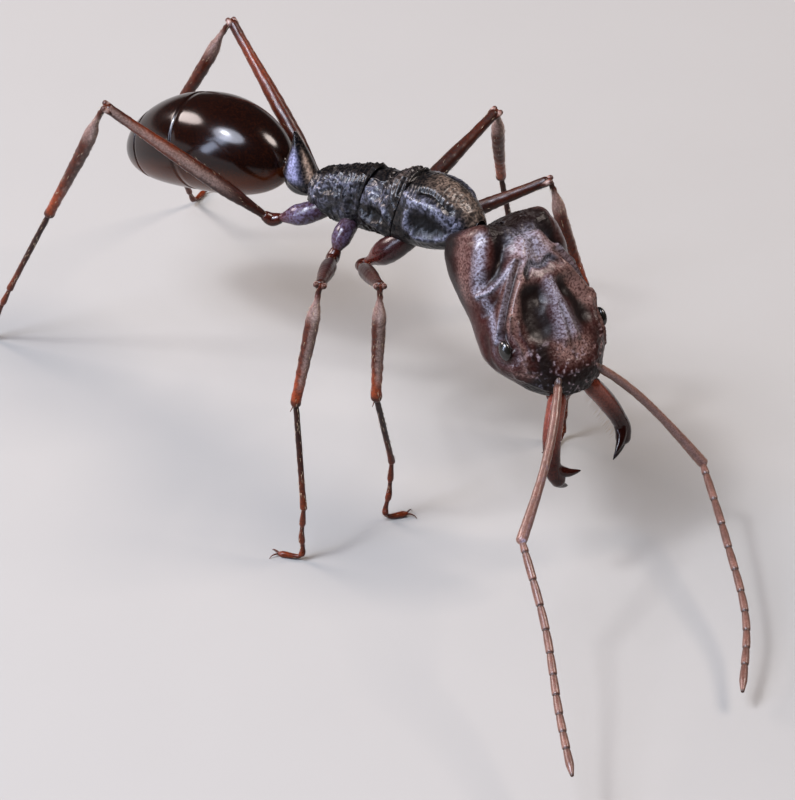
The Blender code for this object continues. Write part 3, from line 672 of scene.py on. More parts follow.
# ---------------------------------------------------------------- plates
def draw_head():
    rows, columns, inset = 290, 324, 7          # inset: the rings of each rounded end
    along = -0.50 + 0.99 * (0.5 - 0.5 * np.cos(np.linspace(0, np.pi, rows))) ** 0.9
    wide, top, bottom = (smooth(HEAD, k, along) for k in (1, 2, 3))
    curl = np.cos(np.linspace(0, np.pi / 2, inset, endpoint=False))[::-1]
    scale = np.concatenate((0.05 + 0.95 * curl, np.ones(rows), 0.05 + 0.95 * curl[::-1]))
    bulge = 0.012 * np.sqrt(1 - curl ** 2)
    along = np.concatenate((along[0] - bulge, along, along[-1] + bulge[::-1]))
    wide, top, bottom = (np.pad(values, inset, mode="edge") for values in (wide, top, bottom))
    x, z = superellipse(columns)
    out = (wide * scale)[:, None] * x
    up = ((top + bottom) / 2)[:, None] + ((top - bottom) / 2 * scale)[:, None] * z
    inward = np.clip(1 - np.abs(out) / NOTCH_REACH, 0, None)
    behind = np.clip(1 - (along[:, None] + 0.5) / NOTCH_REACH, 0, None)
    along = along[:, None] + VERTEX_NOTCH * inward * behind
    place = np.stack((along, np.abs(out), up), -1) * HEAD_LENGTH
    local = np.stack((out, along, up), -1) * HEAD_LENGTH

    height, ridge, hollow = relief(place, HEAD_RELIEF, HEAD_LENGTH)
    eye = np.linalg.norm((place / HEAD_LENGTH - EYE_AT) / (0.085, 0.06, 0.070), axis=-1)
    socket = np.exp(-((eye - 1.0) / 0.28) ** 2)
    height = (height - 0.03 * socket) * bpy.context.scene.ant_look.relief
    front = eased(0.08, 0.30, along) * eased(-0.16, -0.02, up)
    back = eased(-0.33, -0.43, along)
    midway = np.abs(out)
    rugose = wrinkles(local, 0.06, 3)
    pit = mark_on(place, HEAD_DARK_AND_SHADE["feeler hollow"], HEAD_LENGTH)
    height += 0.008 * front * (rugose - 0.3) + 0.008 * front * noise(local, 0.04, 4)
    height += (0.014 * wrinkles(local, 0.09, 5) + 0.012 * wrinkles(local, 0.05, 15)) \
        * eased(-0.30, -0.38, along) * eased(0.26, 0.18, midway)
    height += 0.004 * (noise(local, 0.06, 6) - 0.5)
    height += 0.003 * eased(0.05, 0.6, pit) * wrinkles(local, 0.04, 16)
    points = on_head(along, out, up)
    points = points + outward(points) * height[..., None]

    # Painted glints: pale and light specks on the rugose front of the face.
    glints = eased(0.16, 0.24, along) * eased(0.02, 0.10, up) \
        * eased(0.60, 0.90, noise(local, 0.045, 13))
    # Pale: the pale marks, which are mostly painted highlights, painted highlights on the broad ridges and
    # on the crests of the front's wrinkles, and the glints.
    pale = marks_on(place, HEAD_PALE_AND_LIT, HEAD_LENGTH) + 0.25 * ridge * eased(-0.25, -0.10, up) \
        + 0.30 * front * rugose * eased(0.30, 0.20, along) + 0.8 * glints
    # Painted highlights, with a painted highlight round the front of the eye's socket and on the glints.
    bloom = marks_on(place, HEAD_HIGHLIGHTS, HEAD_LENGTH) + 0.06 * socket * eased(0.0, 0.1, along) \
        + 0.35 * glints
    # Dark: painted shade in the dark marks, in the hollows of the relief and on the lower side; also
    # darker at the back, along the front margin, and mottled on the face.
    dark = marks_on(place, HEAD_DARK_AND_SHADE, HEAD_LENGTH) + 0.55 * hollow \
        + 0.80 * back * eased(0.24, 0.15, midway) + 0.20 * back + 0.80 * eased(-0.20, -0.30, up) \
        + 0.85 * eased(0.34, 0.40, along) + 0.25 * noise(local, 0.09, 14) * front
    # On the left side the light falls otherwise: the painted highlights are weaker, with a painted gleam
    # and a painted highlight on the ridge, and the painted shade in the feeler hollow and over the mouth
    # is lighter.
    left = eased(0.0, 0.1, out)
    bloom = bloom * (1 - 0.6 * left) + left * mark_on(place, HEAD_LEFT_GLEAM, HEAD_LENGTH)
    lit_ridge = left * mark_on(place, HEAD_LEFT_LIT_RIDGE, HEAD_LENGTH)
    mouth = mark_on(place, HEAD_DARK_AND_SHADE["face over the mouth"], HEAD_LENGTH)
    pale += lit_ridge
    dark = dark * (1 - 0.8 * np.maximum(lit_ridge, glints)) - left * (0.4 * pit + 0.6 * mouth)
    drawing = Drawing()
    drawing.rings(points, local, tint=np.clip(pale, 0, 1), shade=np.clip(dark, 0, 0.95),
                  bloom=np.clip(bloom, 0, 1))
    return drawing


def trunk_skin(along, wide, top, bottom, columns):
    """Rings of the trunk in its own frame, which lean round the middle of the mesothorax."""
    x, z = superellipse(columns)
    up = np.where(z > 0, top[:, None] * z, bottom[:, None] * z)
    lean = TRUNK_LEAN * np.clip(2 * (1 - np.abs(along - TRUNK_LEAN_AT) / TRUNK_LEAN_REACH), 0, 1)
    return np.stack((wide[:, None] * x, along[:, None] - lean[:, None] * up, up), -1)


def draw_trunk_plate(name, stations):
    rows, columns = 150, 230
    rim, gap, tuck = 0.04, 0.008, 0.06          # of its rolled edges, in mm, mm and shares
    first, last = stations[0][0], stations[-1][0]
    along = np.linspace(first, last, rows)
    wide, top, bottom = (smooth(stations, k, along) for k in (1, 2, 3))
    near = np.minimum(along - first, last - along)
    roll = np.sqrt(np.clip(1 - (1 - np.clip(near / rim, 0, 1)) ** 2, 0, 1))
    along = along + gap * (1 - roll) * np.where(along - first < last - along, 1, -1)
    shrunk = 1 - tuck * (1 - roll)
    local = trunk_skin(along, wide * shrunk, top * shrunk, bottom * shrunk, columns)
    out, along, up = np.moveaxis(local, -1, 0)
    place = np.stack((along, np.abs(out), up), -1)

    height, ridge, hollow = relief(place, TRUNK_RELIEF[name])
    height *= bpy.context.scene.ant_look.relief
    rough = {"pronotum": 0.22, "mesothorax": 1.1, "propodeum": 1.0}[name]
    folds, rugose = wrinkles(local, 0.13, 7), wrinkles(local, 0.07, 8)
    height += 0.026 * rough * (folds - 0.3) \
        + 0.013 * (rugose - 0.3) * eased(0.75, 0.45, up) * (0.3 + 0.7 * rough)
    if name == "pronotum":          # fine striae along its top
        height += 0.003 * np.sin(along * 95 + 9 * noise(local, 0.25, 9)) * eased(0.40, 0.60, up)
    elif name == "mesothorax":      # a few coarse ones across its front
        height += 0.022 * np.sin(along * 50) * eased(0.40, 0.6, up) * eased(-0.1, -0.3, along)
    else:                           # coarse ones across its back
        height += 0.016 * np.sin(along * 60 + 4 * noise(local, 0.3, 9)) * eased(0.25, 0.45, up)
    points = on_trunk(local)
    points = points + outward(points) * (height * roll[:, None])[..., None]

    # Painted highlights, brighter on the raised wrinkles and the ridges and faded where it is dark;
    # painted shade in the hollows, between the wrinkles and on the lower side; the rolled edges are darker
    # too.
    raised = eased(0.10, 0.55, rugose)
    pale = marks_on(place, TRUNK_WARM_HIGHLIGHTS[name]) * (0.65 + 0.35 * raised)
    bloom = (marks_on(place, TRUNK_COOL_HIGHLIGHTS[name]) + 0.10 * ridge) * (0.30 + 0.70 * raised)
    dark = 0.9 * hollow + 0.6 * (1 - roll)[:, None] + 0.5 * eased(0.20, 0.05, rugose) \
        + 0.5 * eased(0.0, -0.3, up)
    drawing = Drawing()
    drawing.rings(points, local, tint=np.clip(pale, 0, 1), shade=np.clip(dark, 0, 0.95),
                  bloom=np.clip(bloom * (1 - np.clip(dark, 0, 1)), 0, 1))
    return drawing


def draw_trunk_core():
    """The soft skin inside the plates, which shows in the joints between them."""
    stations = PRONOTUM + MESOTHORAX[1:] + PROPODEUM[1:]
    along = np.linspace(-1.60, 1.60, 60)
    local = trunk_skin(along, *(smooth(stations, k, along) * 0.85 for k in (1, 2, 3)), 48)
    drawing = Drawing()
    drawing.rings(on_trunk(local), local)
    return drawing


def draw_petiole():
    rows, columns = 90, 64
    height = np.linspace(PETIOLE[0][0], PETIOLE[-1][0], rows)
    wide, long, back = (smooth(PETIOLE, k, height) for k in (1, 2, 3))
    cap = np.sqrt(np.clip((height - height[0] + 0.004) / 0.05, 0, 1))
    angle = round_angles(columns)
    rings = np.stack(((wide * cap)[:, None] * np.cos(angle),
                      back[:, None] + (long * cap)[:, None] * np.sin(angle),
                      np.broadcast_to(height[:, None], (rows, columns))), -1)
    up = rings[..., 2]
    fold = 0.02 * np.exp(-((up + 0.10 - 0.3 * rings[..., 1]) / 0.05) ** 2)
    rings = rings + outward(rings) * fold[..., None]
    up = rings[..., 2]
    # Painted highlights halfway up: a lilac one on its right side and tan ones beyond it, to the front and
    # back; darker towards its foot.
    middle = eased(-0.12, 0.04, up) * eased(0.56, 0.30, up)
    side, front = (np.exp(-((np.abs(angle - math.pi) - turn) / spread) ** 2)
                   for turn, spread in ((0.10, 0.32), (1.22, 0.24)))
    drawing = Drawing()
    drawing.rings(rings + PETIOLE_AT + STAND_AT, rings, tint=0.9 * middle * front,
                  bloom=0.8 * middle * side, shade=0.5 * eased(-0.1, -0.3, up))
    return drawing


def gaster_radius(share):
    before = np.sqrt(np.clip(1 - (1 - share / GASTER_THICKEST) ** 2, 0, 1))
    after = np.sqrt(np.clip(1 - (np.abs(share - GASTER_THICKEST) / 0.60) ** 2.1, 0, 1))
    return GASTER_RADIUS * np.where(share < GASTER_THICKEST, before, after)


def draw_gaster_plate(start, end):
    """One plate, whose front is tucked under the plate before it."""
    rows, columns = 110, 120
    t = np.linspace(0, 1, rows)
    share = start + (end - start) * t
    rim = eased(0.93, 1.0, t) if end < 1 else np.zeros(rows)
    tuck = 1 - eased(0.0, 0.05, t) if start else np.zeros(rows)
    radius = np.maximum(gaster_radius(share), 0.02) - 0.012 * rim - 0.022 * tuck
    if end == 1:
        radius = radius * np.sqrt(np.clip((1.0 - t) / 0.04, 0.002, 1))
    angle = round_angles(columns)
    arch = GASTER_ARCH * np.sin(np.pi * share)
    local = np.stack((0.98 * radius[:, None] * np.cos(angle),
                      np.broadcast_to((share * GASTER_LENGTH)[:, None], (rows, columns)),
                      radius[:, None] * np.sin(angle) + arch[:, None]), -1)
    under = np.broadcast_to(eased(0.1, -0.6, np.sin(angle)), (rows, columns))
    drawing = Drawing()
    # Paler and warmer underneath; darker where its front tucks under the plate before, as painted shade.
    drawing.rings(on_gaster(local), local, tint=0.5 * under, shade=0.5 * tuck)
    return drawing


def draw_eye(sign):
    polar = np.linspace(0.02, np.pi - 0.02, 40)[:, None]
    angle = round_angles(60)
    long, thick, tall = EYE_RADII
    local = np.stack(np.broadcast_arrays(sign * thick * np.sin(polar) * np.cos(angle),
                                         long * np.cos(polar),
                                         tall * np.sin(polar) * np.sin(angle)), -1)
    along, out, up = EYE_AT
    drawing = Drawing()
    drawing.rings(local @ HEAD_AXES.T + on_head(along, sign * out, up), local)
    return drawing


def on_jaw(points, side, sign):
    """From a jaw's own frame (x outward, -y forward, z up) to the model's frame."""
    turn = (Matrix.Rotation(math.radians(sign * MANDIBLE_OPEN[side]), 3, "Z")
            @ Matrix.Rotation(math.radians(MANDIBLE_DROP), 3, "X"))
    points = np.asarray(points, float) * (sign, 1, 1) @ np.array(turn).T
    along, out, up = MANDIBLE_AT
    return points @ HEAD_AXES.T + on_head(along, sign * out, up)


def draw_jaw(side, sign):
    """A long straight blade that bends in at its tip, with two long teeth there."""
    drawing = Drawing()
    up = HEAD_AXES @ (0, 0, 1)
    shaft = curve(((0.0, 0.12, 0.0), (0.06, -0.25, 0.0), (0.11, -0.70, 0.0), (0.10, -1.12, 0.02),
                   (0.05, -1.38, 0.03), (-0.05, -1.50, 0.02)), 70)
    t = np.linspace(0, 1, 70)
    # Darker towards the teeth, less so on the right jaw as painted light.
    drawing.tube(on_jaw(shaft, side, sign),
                 0.105 + 0.060 * eased(0.0, 0.18, t) - 0.030 * eased(0.45, 0.90, t), 30, 0.90, up,
                 tint=0.65 * eased(0, 0.15, t) * eased(0.8, 0.2, t), rough=0.005,
                 shade=0.62 * TOOTH_SHADE[side] * eased(0.50, 0.90, t) + 0.4 * eased(0.08, 0.0, t))
    t = np.linspace(0, 1, 24)
    taper = (0.72 + 0.28 * eased(0.0, 0.35, t)) * (1 - t) ** 0.75
    for thick, *points in (
            (0.125, (0.06, -1.30, 0.02), (-0.02, -1.50, 0.00), (-0.18, -1.63, -0.05),
             (-0.38, -1.71, -0.11)),
            (0.150, (0.12, -1.10, 0.02), (0.02, -1.30, 0.04), (-0.18, -1.38, 0.09),
             (-0.44, -1.39, 0.12))):
        drawing.tube(on_jaw(curve(points, 24), side, sign), thick * taper + 0.008, 22, 0.9, up,
                     shade=(0.62 + 0.28 * t) * TOOTH_SHADE[side], rough=0.004)
    return drawing


def draw_mouthparts():
    """The lip and the two pairs of feelers of the mouth, tucked in between the jaws."""
    drawing = Drawing()
    lip = on_head(*np.array(((0.44, 0, 0.02), (0.50, 0, -0.01), (0.53, 0, -0.05))).T)
    drawing.tube(curve(lip, 10), np.linspace(0.20, 0.08, 10), 20, 0.4, HEAD_AXES[:, 2], tint=0.3)
    for sign in (1, -1):
        palp = on_head(*np.array(((0.42, sign * 0.05, -0.07), (0.48, sign * 0.06, -0.10),
                                  (0.53, sign * 0.04, -0.13), (0.56, sign * 0.03, -0.15))).T)
        drawing.tube(curve(palp, 16), 0.028 - 0.006 * np.cos(np.linspace(0, 18, 16)), 10, tint=0.5)
    return drawing


# ---------------------------------------------------------------- limbs
def leg_points(pair, side, sign):
    """Base, hip, knee, ankle, end of the first foot joint, and toe, which is set down on the floor."""
    points = [np.array(LEG_BASES[pair]) * (sign, 1, 1), np.array(LEG_HIPS[pair]) * (sign, 1, 1)]
    points += [np.array(point) for point in LEG_JOINTS[f"{pair}_{side}"]]
    return [point + STAND_AT for point in points]


def draw_coxa(points, sizes, pair):
    """The coxa and the small ring joint at its end."""
    drawing = Drawing()
    base, hip, knee = points[:3]
    way = hip - base
    t = np.linspace(0, 1, 40)
    fat, cool_highlight, warm = COXA_LOOKS[pair]
    radii = sizes.coxa / 2 * fat * (0.80 + 0.25 * np.sin(np.pi * np.clip(t * 1.15, 0, 1))
                                    - 0.40 * eased(0.55, 1.0, t))
    path = base + way * (t[:, None] * 0.88)
    path[:, 0] -= math.copysign(0.14, base[0] - STAND_AT[0]) * eased(0.45, 0.0, t)
    # A painted highlight along its middle, as strong as each pair's look says; redder towards its end.
    drawing.tube(path, radii, 28, rough=0.012, tint=warm * eased(0.35, 0.9, t),
                 shade=0.7 * eased(0.35, 0.0, t),
                 bloom=cool_highlight * eased(0.05, 0.4, t) * eased(1.0, 0.65, t))
    out = unit(knee - hip)
    ring = curve((hip - unit(way) * 0.14, hip - unit(way) * 0.02 + out * 0.01, hip + out * 0.12), 16)
    drawing.tube(ring, sizes.femur / 2 * (0.66 + 0.2 * np.sin(np.linspace(0.3, np.pi - 0.2, 16))),
                 22, tint=0.2, rough=0.006)
    return drawing


def draw_femur(points, sizes, pair):
    drawing = Drawing()
    hip, knee, ankle = points[1:4]
    way = unit(knee - hip)
    t = np.linspace(0, 1, 70)
    start = hip + way * 0.10
    path = start + (knee - way * 0.06 - start) * t[:, None]
    radii = sizes.femur / 2 * (0.50 + 0.50 * eased(0.0, 0.30, t) - 0.34 * eased(0.4, 0.93, t))
    pale = pair == "hind"           # the hind femora get painted highlights: a pale tint and a highlight line
    tint = 0.35 * eased(0.35, 0.75, t) * eased(0.95, 0.85, t) * (1.0 if pale else 0.3)
    # The fore and mid femora are darker all along, as painted shade.
    shade = 0.45 * eased(0.5, 0.1, t) if pale else 0.62 - 0.22 * eased(0.5, 0.9, t)
    drawing.tube(path, radii, 24, rough=0.012, streak=0.5 * eased(0.15, 0.4, t) * pale,
                 tint=tint, shade=shade)
    side = unit(np.cross(way, unit(ankle - knee)))
    for sign in (1, -1):
        centre = knee + side * sign * 0.064
        lobe = curve((centre - way * 0.20 - side * sign * 0.04, centre - way * 0.09,
                      centre + way * 0.040), 14)
        t = np.linspace(0, 1, 14)
        # A painted highlight round each lobe's rim.
        drawing.tube(lobe, 0.030 + 0.018 * eased(0.0, 0.75, t), 18, cap=3,
                     tint=0.3 * eased(0.5, 0.8, t), shade=0.6 * eased(0.93, 1.0, t),
                     bloom=0.9 * np.exp(-((t - 0.80) / 0.13) ** 2))
    return drawing


def draw_tibia(points, sizes, _pair):
    """The shin, with the comb spur at its end."""
    drawing = Drawing()
    knee, ankle = points[2:4]
    before = unit(knee - points[1])
    way = unit(ankle - knee)
    length = np.linalg.norm(ankle - knee)
    path = curve((knee + before * 0.01, knee + way * 0.10 + before * 0.025, knee + way * 0.35 * length,
                  ankle), 80)
    t = np.linspace(0, 1, 80)
    radii = sizes.tibia / 2 * (0.42 + 0.60 * eased(0.10, 0.27, t) - 0.26 * eased(0.30, 0.95, t)
                               + 0.04 * eased(0.95, 1.0, t))
    # Orange-red towards the ankle; a painted highlight on the upper shin and a painted highlight line down
    # its front, outer side.
    drawing.tube(path, radii, 24, tint=0.15 + 0.65 * eased(0.60, 0.92, t), rough=0.018,
                 bloom=0.42 * eased(0.06, 0.13, t) * eased(0.34, 0.22, t),
                 streak=0.5 * eased(0.10, 0.2, t) * eased(0.92, 0.80, t),
                 shade=0.5 * np.exp(-((t - 0.05) / 0.03) ** 2) + 0.75 * eased(0.965, 0.99, t)
                 + 0.22 * eased(0.25, 0.35, t) * eased(0.80, 0.6, t))
    spur = unit(way + 0.35 * unit(np.cross(way, before)))
    tip = curve((ankle - way * 0.05, ankle + spur * 0.09, ankle + spur * 0.18 + way * 0.02), 8)
    drawing.tube(tip, np.linspace(0.020, 0.005, 8), 8, cap=2, tint=0.3)
    return drawing


def draw_basitarsus(points, sizes, _pair):
    drawing = Drawing()
    ankle, joint = points[3:5]
    t = np.linspace(0, 1, 40)
    radii = sizes.basitarsus / 2 * (0.80 + 0.2 * eased(0.0, 0.1, t) + 0.22 * eased(0.86, 1.0, t))
    drawing.tube(ankle + (joint - ankle) * t[:, None], radii, 16, rough=0.008,
                 tint=0.3 * eased(0.5, 1, t), shade=0.55 * eased(0.9, 0.2, t))
    return drawing


def draw_tarsus(points, sizes, _pair):
    """Four short foot joints, the last one flat on the floor, with two claws."""
    drawing = Drawing()
    joint, toe = points[4:6]
    flat = toe * (1, 1, 0)
    level = unit((toe - joint) * (1, 1, 0))
    heel = flat - level * 0.24 + (0, 0, 0.085)
    front = flat + level * 0.10 + (0, 0, 0.050)
    way = curve((joint, joint + (heel - joint) * 0.55, heel, front), 200)
    marks = (0.0, 0.30, 0.54, 0.73, 1.0)
    for start, end in zip(marks, marks[1:]):
        piece = way[int(start * 199):int(end * 199) + 1]
        piece = piece[:: max(1, len(piece) // 14)]
        t = np.linspace(0, 1, len(piece))
        radii = sizes.tarsus / 2 * (0.66 + 0.34 * eased(0.1, 0.85, t) - (0.3 * eased(0.88, 1, t)))
        drawing.tube(piece, radii, 14, cap=3, tint=0.15 + 0.25 * t,
                     shade=0.4 * (1 - eased(0, 0.2, t)))
    side = np.cross(level, (0, 0, 1))
    for sign in (1, -1):
        claw = curve((front, front + level * 0.07 + side * sign * 0.05 + (0, 0, 0.012),
                      front + level * 0.13 + side * sign * 0.10 - (0, 0, 0.012),
                      front + level * 0.145 + side * sign * 0.12 - (0, 0, 0.040)), 14)
        drawing.tube(claw, np.linspace(0.020, 0.005, 14), 8, cap=2, tint=0.3, shade=0.3)
    return drawing


# Each piece of a leg: what draws it, its kind of surface and its slot.
LEG_PIECES = {"coxa": (draw_coxa, "coxa", "coxa"), "femur": (draw_femur, "leg", "leg"),
              "tibia": (draw_tibia, "leg", "leg"), "basitarsus": (draw_basitarsus, "leg", "foot"),
              "tarsus": (draw_tarsus, "leg", "foot")}


def antenna_points(side, sign):
    along, out, up = ANTENNA_BASE
    return [on_head(along, sign * out, up)] + [np.array(p) + STAND_AT for p in ANTENNA_JOINTS[side]]


def draw_scape(side, sign, sizes):
    """The long first joint, from a ball in its socket, widening to the elbow."""
    drawing = Drawing()
    base, elbow = antenna_points(side, sign)[:2]
    out = unit(np.cross(elbow - base, (0, 0, 1))) * -sign
    bow_out, bow_up, tan, down = SCAPE_LOOKS[side]
    t = np.linspace(0, 1, 80)
    bow = (out * bow_out + (0, 0, bow_up)) * np.sin(np.pi * t ** 0.85)[:, None]
    radii = sizes.scape / 2 * (0.95 - 0.25 * np.exp(-((t - 0.035) / 0.012) ** 2)
                               + 0.25 * eased(0.6, 0.98, t))
    # A painted highlight line along the scape, its strength and the tan differing by side as painted
    # light.
    drawing.tube(base + (elbow - base) * t[:, None] + bow, radii, 20, rough=0.010, streak=down,
                 tint=tan + 0.25 * eased(0.9, 1, t), shade=0.7 * eased(0.07, 0.04, t))
    return drawing


def draw_funiculus(side, sign, sizes):
    """The whip: a short first joint, then ten that shorten slowly to the tip."""
    drawing = Drawing()
    points = antenna_points(side, sign)[1:]
    marks = np.concatenate(((0,), np.cumsum(WHIP_JOINTS))) / np.sum(WHIP_JOINTS)
    t = np.linspace(0, 1, 420)
    after = t - marks[np.clip(np.searchsorted(marks, t, side="right") - 1, 0, 10)]
    before = marks[np.clip(np.searchsorted(marks, t, side="left"), 1, 11)] - t
    joint = np.exp(-(np.minimum(after, before) / 0.0045) ** 2)
    radii = sizes.funiculus / 2 * (0.88 + 0.12 * eased(0.0, 0.05, after) - 0.16 * joint)
    radii = radii * (1 - 0.45 * eased(0.95, 1.0, t)) * (0.85 + 0.15 * eased(0, 0.06, t))
    drawing.tube(curve(points, 420), radii, 18, tint=0.55 - 0.25 * eased(0.02, 0.05, before),
                 shade=np.clip(0.75 * joint + 0.20 * eased(0.03, 0.0, after), 0, 1))
    return drawing


# ---------------------------------------------------------------- hairs
def hairs_on(drawing, rings, count, length, width, seed):
    """Short bristles over a skin of rings, each with its own small patch of the skin's unwrap."""
    dice = np.random.default_rng(seed)
    rows, columns = rings.shape[:2]
    normal = outward(rings)
    along = unit(np.gradient(rings, axis=0))
    start, end = HAIR_ENDS
    for _ in range(count):
        i = int((start + (end - start) * dice.random()) * (rows - 1))
        j = int(dice.integers(columns))
        root, up, flow = rings[i, j], normal[i, j], along[i, j]
        size = length * (0.7 + 0.6 * dice.random())
        sway = unit(dice.normal(size=3)) * HAIR_SWAY
        way = unit(up * (1 - HAIR_LEAN) + flow * HAIR_LEAN + sway)
        middle = root + way * size * 0.5
        tip = middle + unit(way + flow * 0.5) * size * 0.5
        bend = np.array((root - up * width, middle, tip))
        one_hair(drawing, bend, width, (j / columns, i / (rows - 1)))


def one_hair(drawing, bend, width, at):
    """A three-sided bristle that tapers to its tip."""
    way = unit(bend[-1] - bend[0])
    side = unit(np.cross(way, (0.31, 0.52, 0.79)))
    over = np.cross(way, side)
    angle = round_angles(3)
    ring = side * np.cos(angle)[:, None] + over * np.sin(angle)[:, None]
    points = np.concatenate((bend[0] + ring * width, bend[1] + ring * width * 0.8, bend[-1:]))
    faces = [(0, 1, 4, 3), (1, 2, 5, 4), (2, 0, 3, 5), (3, 4, 6), (4, 5, 6), (5, 3, 6), (2, 1, 0)]
    drawing.add(points, faces, points, tint=0.5)
    spot = np.array([(0, 0), (0.5, 0), (1, 0), (0, 0.5), (0.5, 0.5), (1, 0.5), (0.5, 1)])
    uv = np.array(at) * (1 - PATCH) + spot * PATCH
    drawing.patches.append(np.concatenate([uv[list(face)] for face in faces]))


# ---------------------------------------------------------------- panel
class AntLook(bpy.types.PropertyGroup):
    """Colours and sizes of the model."""

    head: FloatVectorProperty(name="Head", description="Colour of the head", subtype="COLOR",
                              size=3, min=0, max=1, default=linear("#2b0a07"))
    trunk: FloatVectorProperty(name="Trunk", description="Colour of the trunk", subtype="COLOR",
                               size=3, min=0, max=1, default=linear("#040406"))
    gaster: FloatVectorProperty(name="Gaster", description="Colour of the gaster", subtype="COLOR",
                                size=3, min=0, max=1, default=linear("#0d0403"))
    jaw: FloatVectorProperty(name="Jaws", description="Colour of the jaws", subtype="COLOR",
                             size=3, min=0, max=1, default=linear("#300b05"))
    leg: FloatVectorProperty(name="Legs", description="Colour of the legs", subtype="COLOR",
                             size=3, min=0, max=1, default=linear("#2f1108"))
    feeler: FloatVectorProperty(name="Feelers", description="Colour of the feelers", subtype="COLOR",
                                size=3, min=0, max=1, default=linear("#4a2c22"))
    hair: FloatVectorProperty(name="Hairs", description="Colour of the hairs", subtype="COLOR",
                              size=3, min=0, max=1, default=linear("#7a6044"))
    relief: FloatProperty(name="Relief", description="How deep the folds and furrows of the plates are, "
                          "as a share of a real worker's", default=1.0, min=0.0, max=1.5, subtype="FACTOR")


class AntLimbs(bpy.types.PropertyGroup):
    """Thickness of each limb joint in mm."""

    coxa: FloatProperty(name="Coxa", description="Thickness of the coxae in mm", default=0.36,
                        min=0.1, max=0.5)
    femur: FloatProperty(name="Femur", description="Thickness of the femora in mm", default=0.27,
                         min=0.1, max=0.5)
    tibia: FloatProperty(name="Tibia", description="Thickness of the tibiae in mm", default=0.23,
                         min=0.1, max=0.5)
    basitarsus: FloatProperty(name="First foot joint", description="Thickness in mm", default=0.10,
                              min=0.05, max=0.4)
    tarsus: FloatProperty(name="Foot", description="Thickness of the foot joints in mm", default=0.11,
                          min=0.05, max=0.4)
    scape: FloatProperty(name="Scape", description="Thickness of the scapes in mm", default=0.155,
                         min=0.05, max=0.4)
    funiculus: FloatProperty(name="Whip", description="Thickness of the whips in mm", default=0.135,
                             min=0.05, max=0.4)


class AntHairs(bpy.types.PropertyGroup):
    """Sizes of the hairs."""

    length: FloatProperty(name="Length", description="Usual length of a bristle in mm", default=0.075,
                          min=0.02, max=0.4)
    width: FloatProperty(name="Width", description="Half thickness of a bristle in mm", default=0.003,
                         min=0.001, max=0.02)
    per_limb: IntProperty(name="On a limb joint", description="Bristles on one limb joint",
                          default=45, min=0, max=400)


class AntStudio(bpy.types.PropertyGroup):
    """Floor, lights and camera."""

    floor: FloatVectorProperty(name="Floor", description="Colour of the floor", subtype="COLOR",
                               size=3, min=0, max=1, default=linear("#918f8a"))
    azimuth: FloatProperty(name="Azimuth", description="Where the camera stands round the model",
                           default=math.radians(-55.4), subtype="ANGLE")
    elevation: FloatProperty(name="Elevation", description="How far the camera looks down",
                             default=math.radians(37.3), subtype="ANGLE")
    roll: FloatProperty(name="Roll", description="How far the camera leans",
                        default=math.radians(5.4), subtype="ANGLE")
    power: FloatProperty(name="Light", description="Power of the main light in watts",
                         default=0.22, min=0.0, max=5.0, unit="POWER")


# ---------------------------------------------------------------- operators
def standing(place, axes):
    """The matrix that stands a thing at this place in mm, turned to these three axes."""
    return Matrix.Translation((place * MM).tolist()) @ Matrix(np.stack(axes, 1).tolist()).to_4x4()


class ANT_OT_head(bpy.types.Operator):
    """Builds the head capsule with its ridges, furrows and feeler hollows"""

    bl_idname = "ant.head"
    bl_label = "Head"

    def execute(self, context):
        draw_head().build("Head", finish("head"), "head_plate", ["head_capsule"])
        return {"FINISHED"}


class ANT_OT_eyes(bpy.types.Operator):
    """Builds the two faceted eyes"""

    bl_idname = "ant.eyes"
    bl_label = "Eyes"

    def execute(self, context):
        for side, sign in SIDES:
            draw_eye(sign).build(f"Eye_{side}_facets", finish("eye"), "eye", [f"eye_{side}"])
        return {"FINISHED"}


class ANT_OT_jaws(bpy.types.Operator):
    """Builds the jaws with their teeth, and the mouthparts between them"""

    bl_idname = "ant.jaws"
    bl_label = "Jaws"

    def execute(self, context):
        for side, sign in SIDES:
            draw_jaw(side, sign).build(f"Jaw_{side}", finish("jaw"), "jaw", [f"mandible_{side}"])
        draw_mouthparts().build("Mouthparts", finish("jaw"), "jaw")
        return {"FINISHED"}


class ANT_OT_trunk(bpy.types.Operator):
    """Builds the three trunk plates, the skin in their joints and the petiole"""

    bl_idname = "ant.trunk"
    bl_label = "Trunk and petiole"

    def execute(self, context):
        for name, stations in (("pronotum", PRONOTUM), ("mesothorax", MESOTHORAX),
                               ("propodeum", PROPODEUM)):
            plate = draw_trunk_plate(name, stations)
            plate.build(f"Plate_{name}", finish("trunk"), "trunk_plate", [name])
        draw_trunk_core().build("Trunk_joint_skin", finish("skin"), "trunk_plate")
        draw_petiole().build("Petiole_node", finish("petiole"), "trunk_plate", ["petiole"])
        return {"FINISHED"}


class ANT_OT_gaster(bpy.types.Operator):
    """Builds the three plates of the gaster"""

    bl_idname = "ant.gaster"
    bl_label = "Gaster"

    def execute(self, context):
        for name, start, end in GASTER_SEGMENTS:
            plate = draw_gaster_plate(start, end)
            plate.build(f"Plate_{name}", finish("gaster"), "gaster_plate", [name])
        return {"FINISHED"}


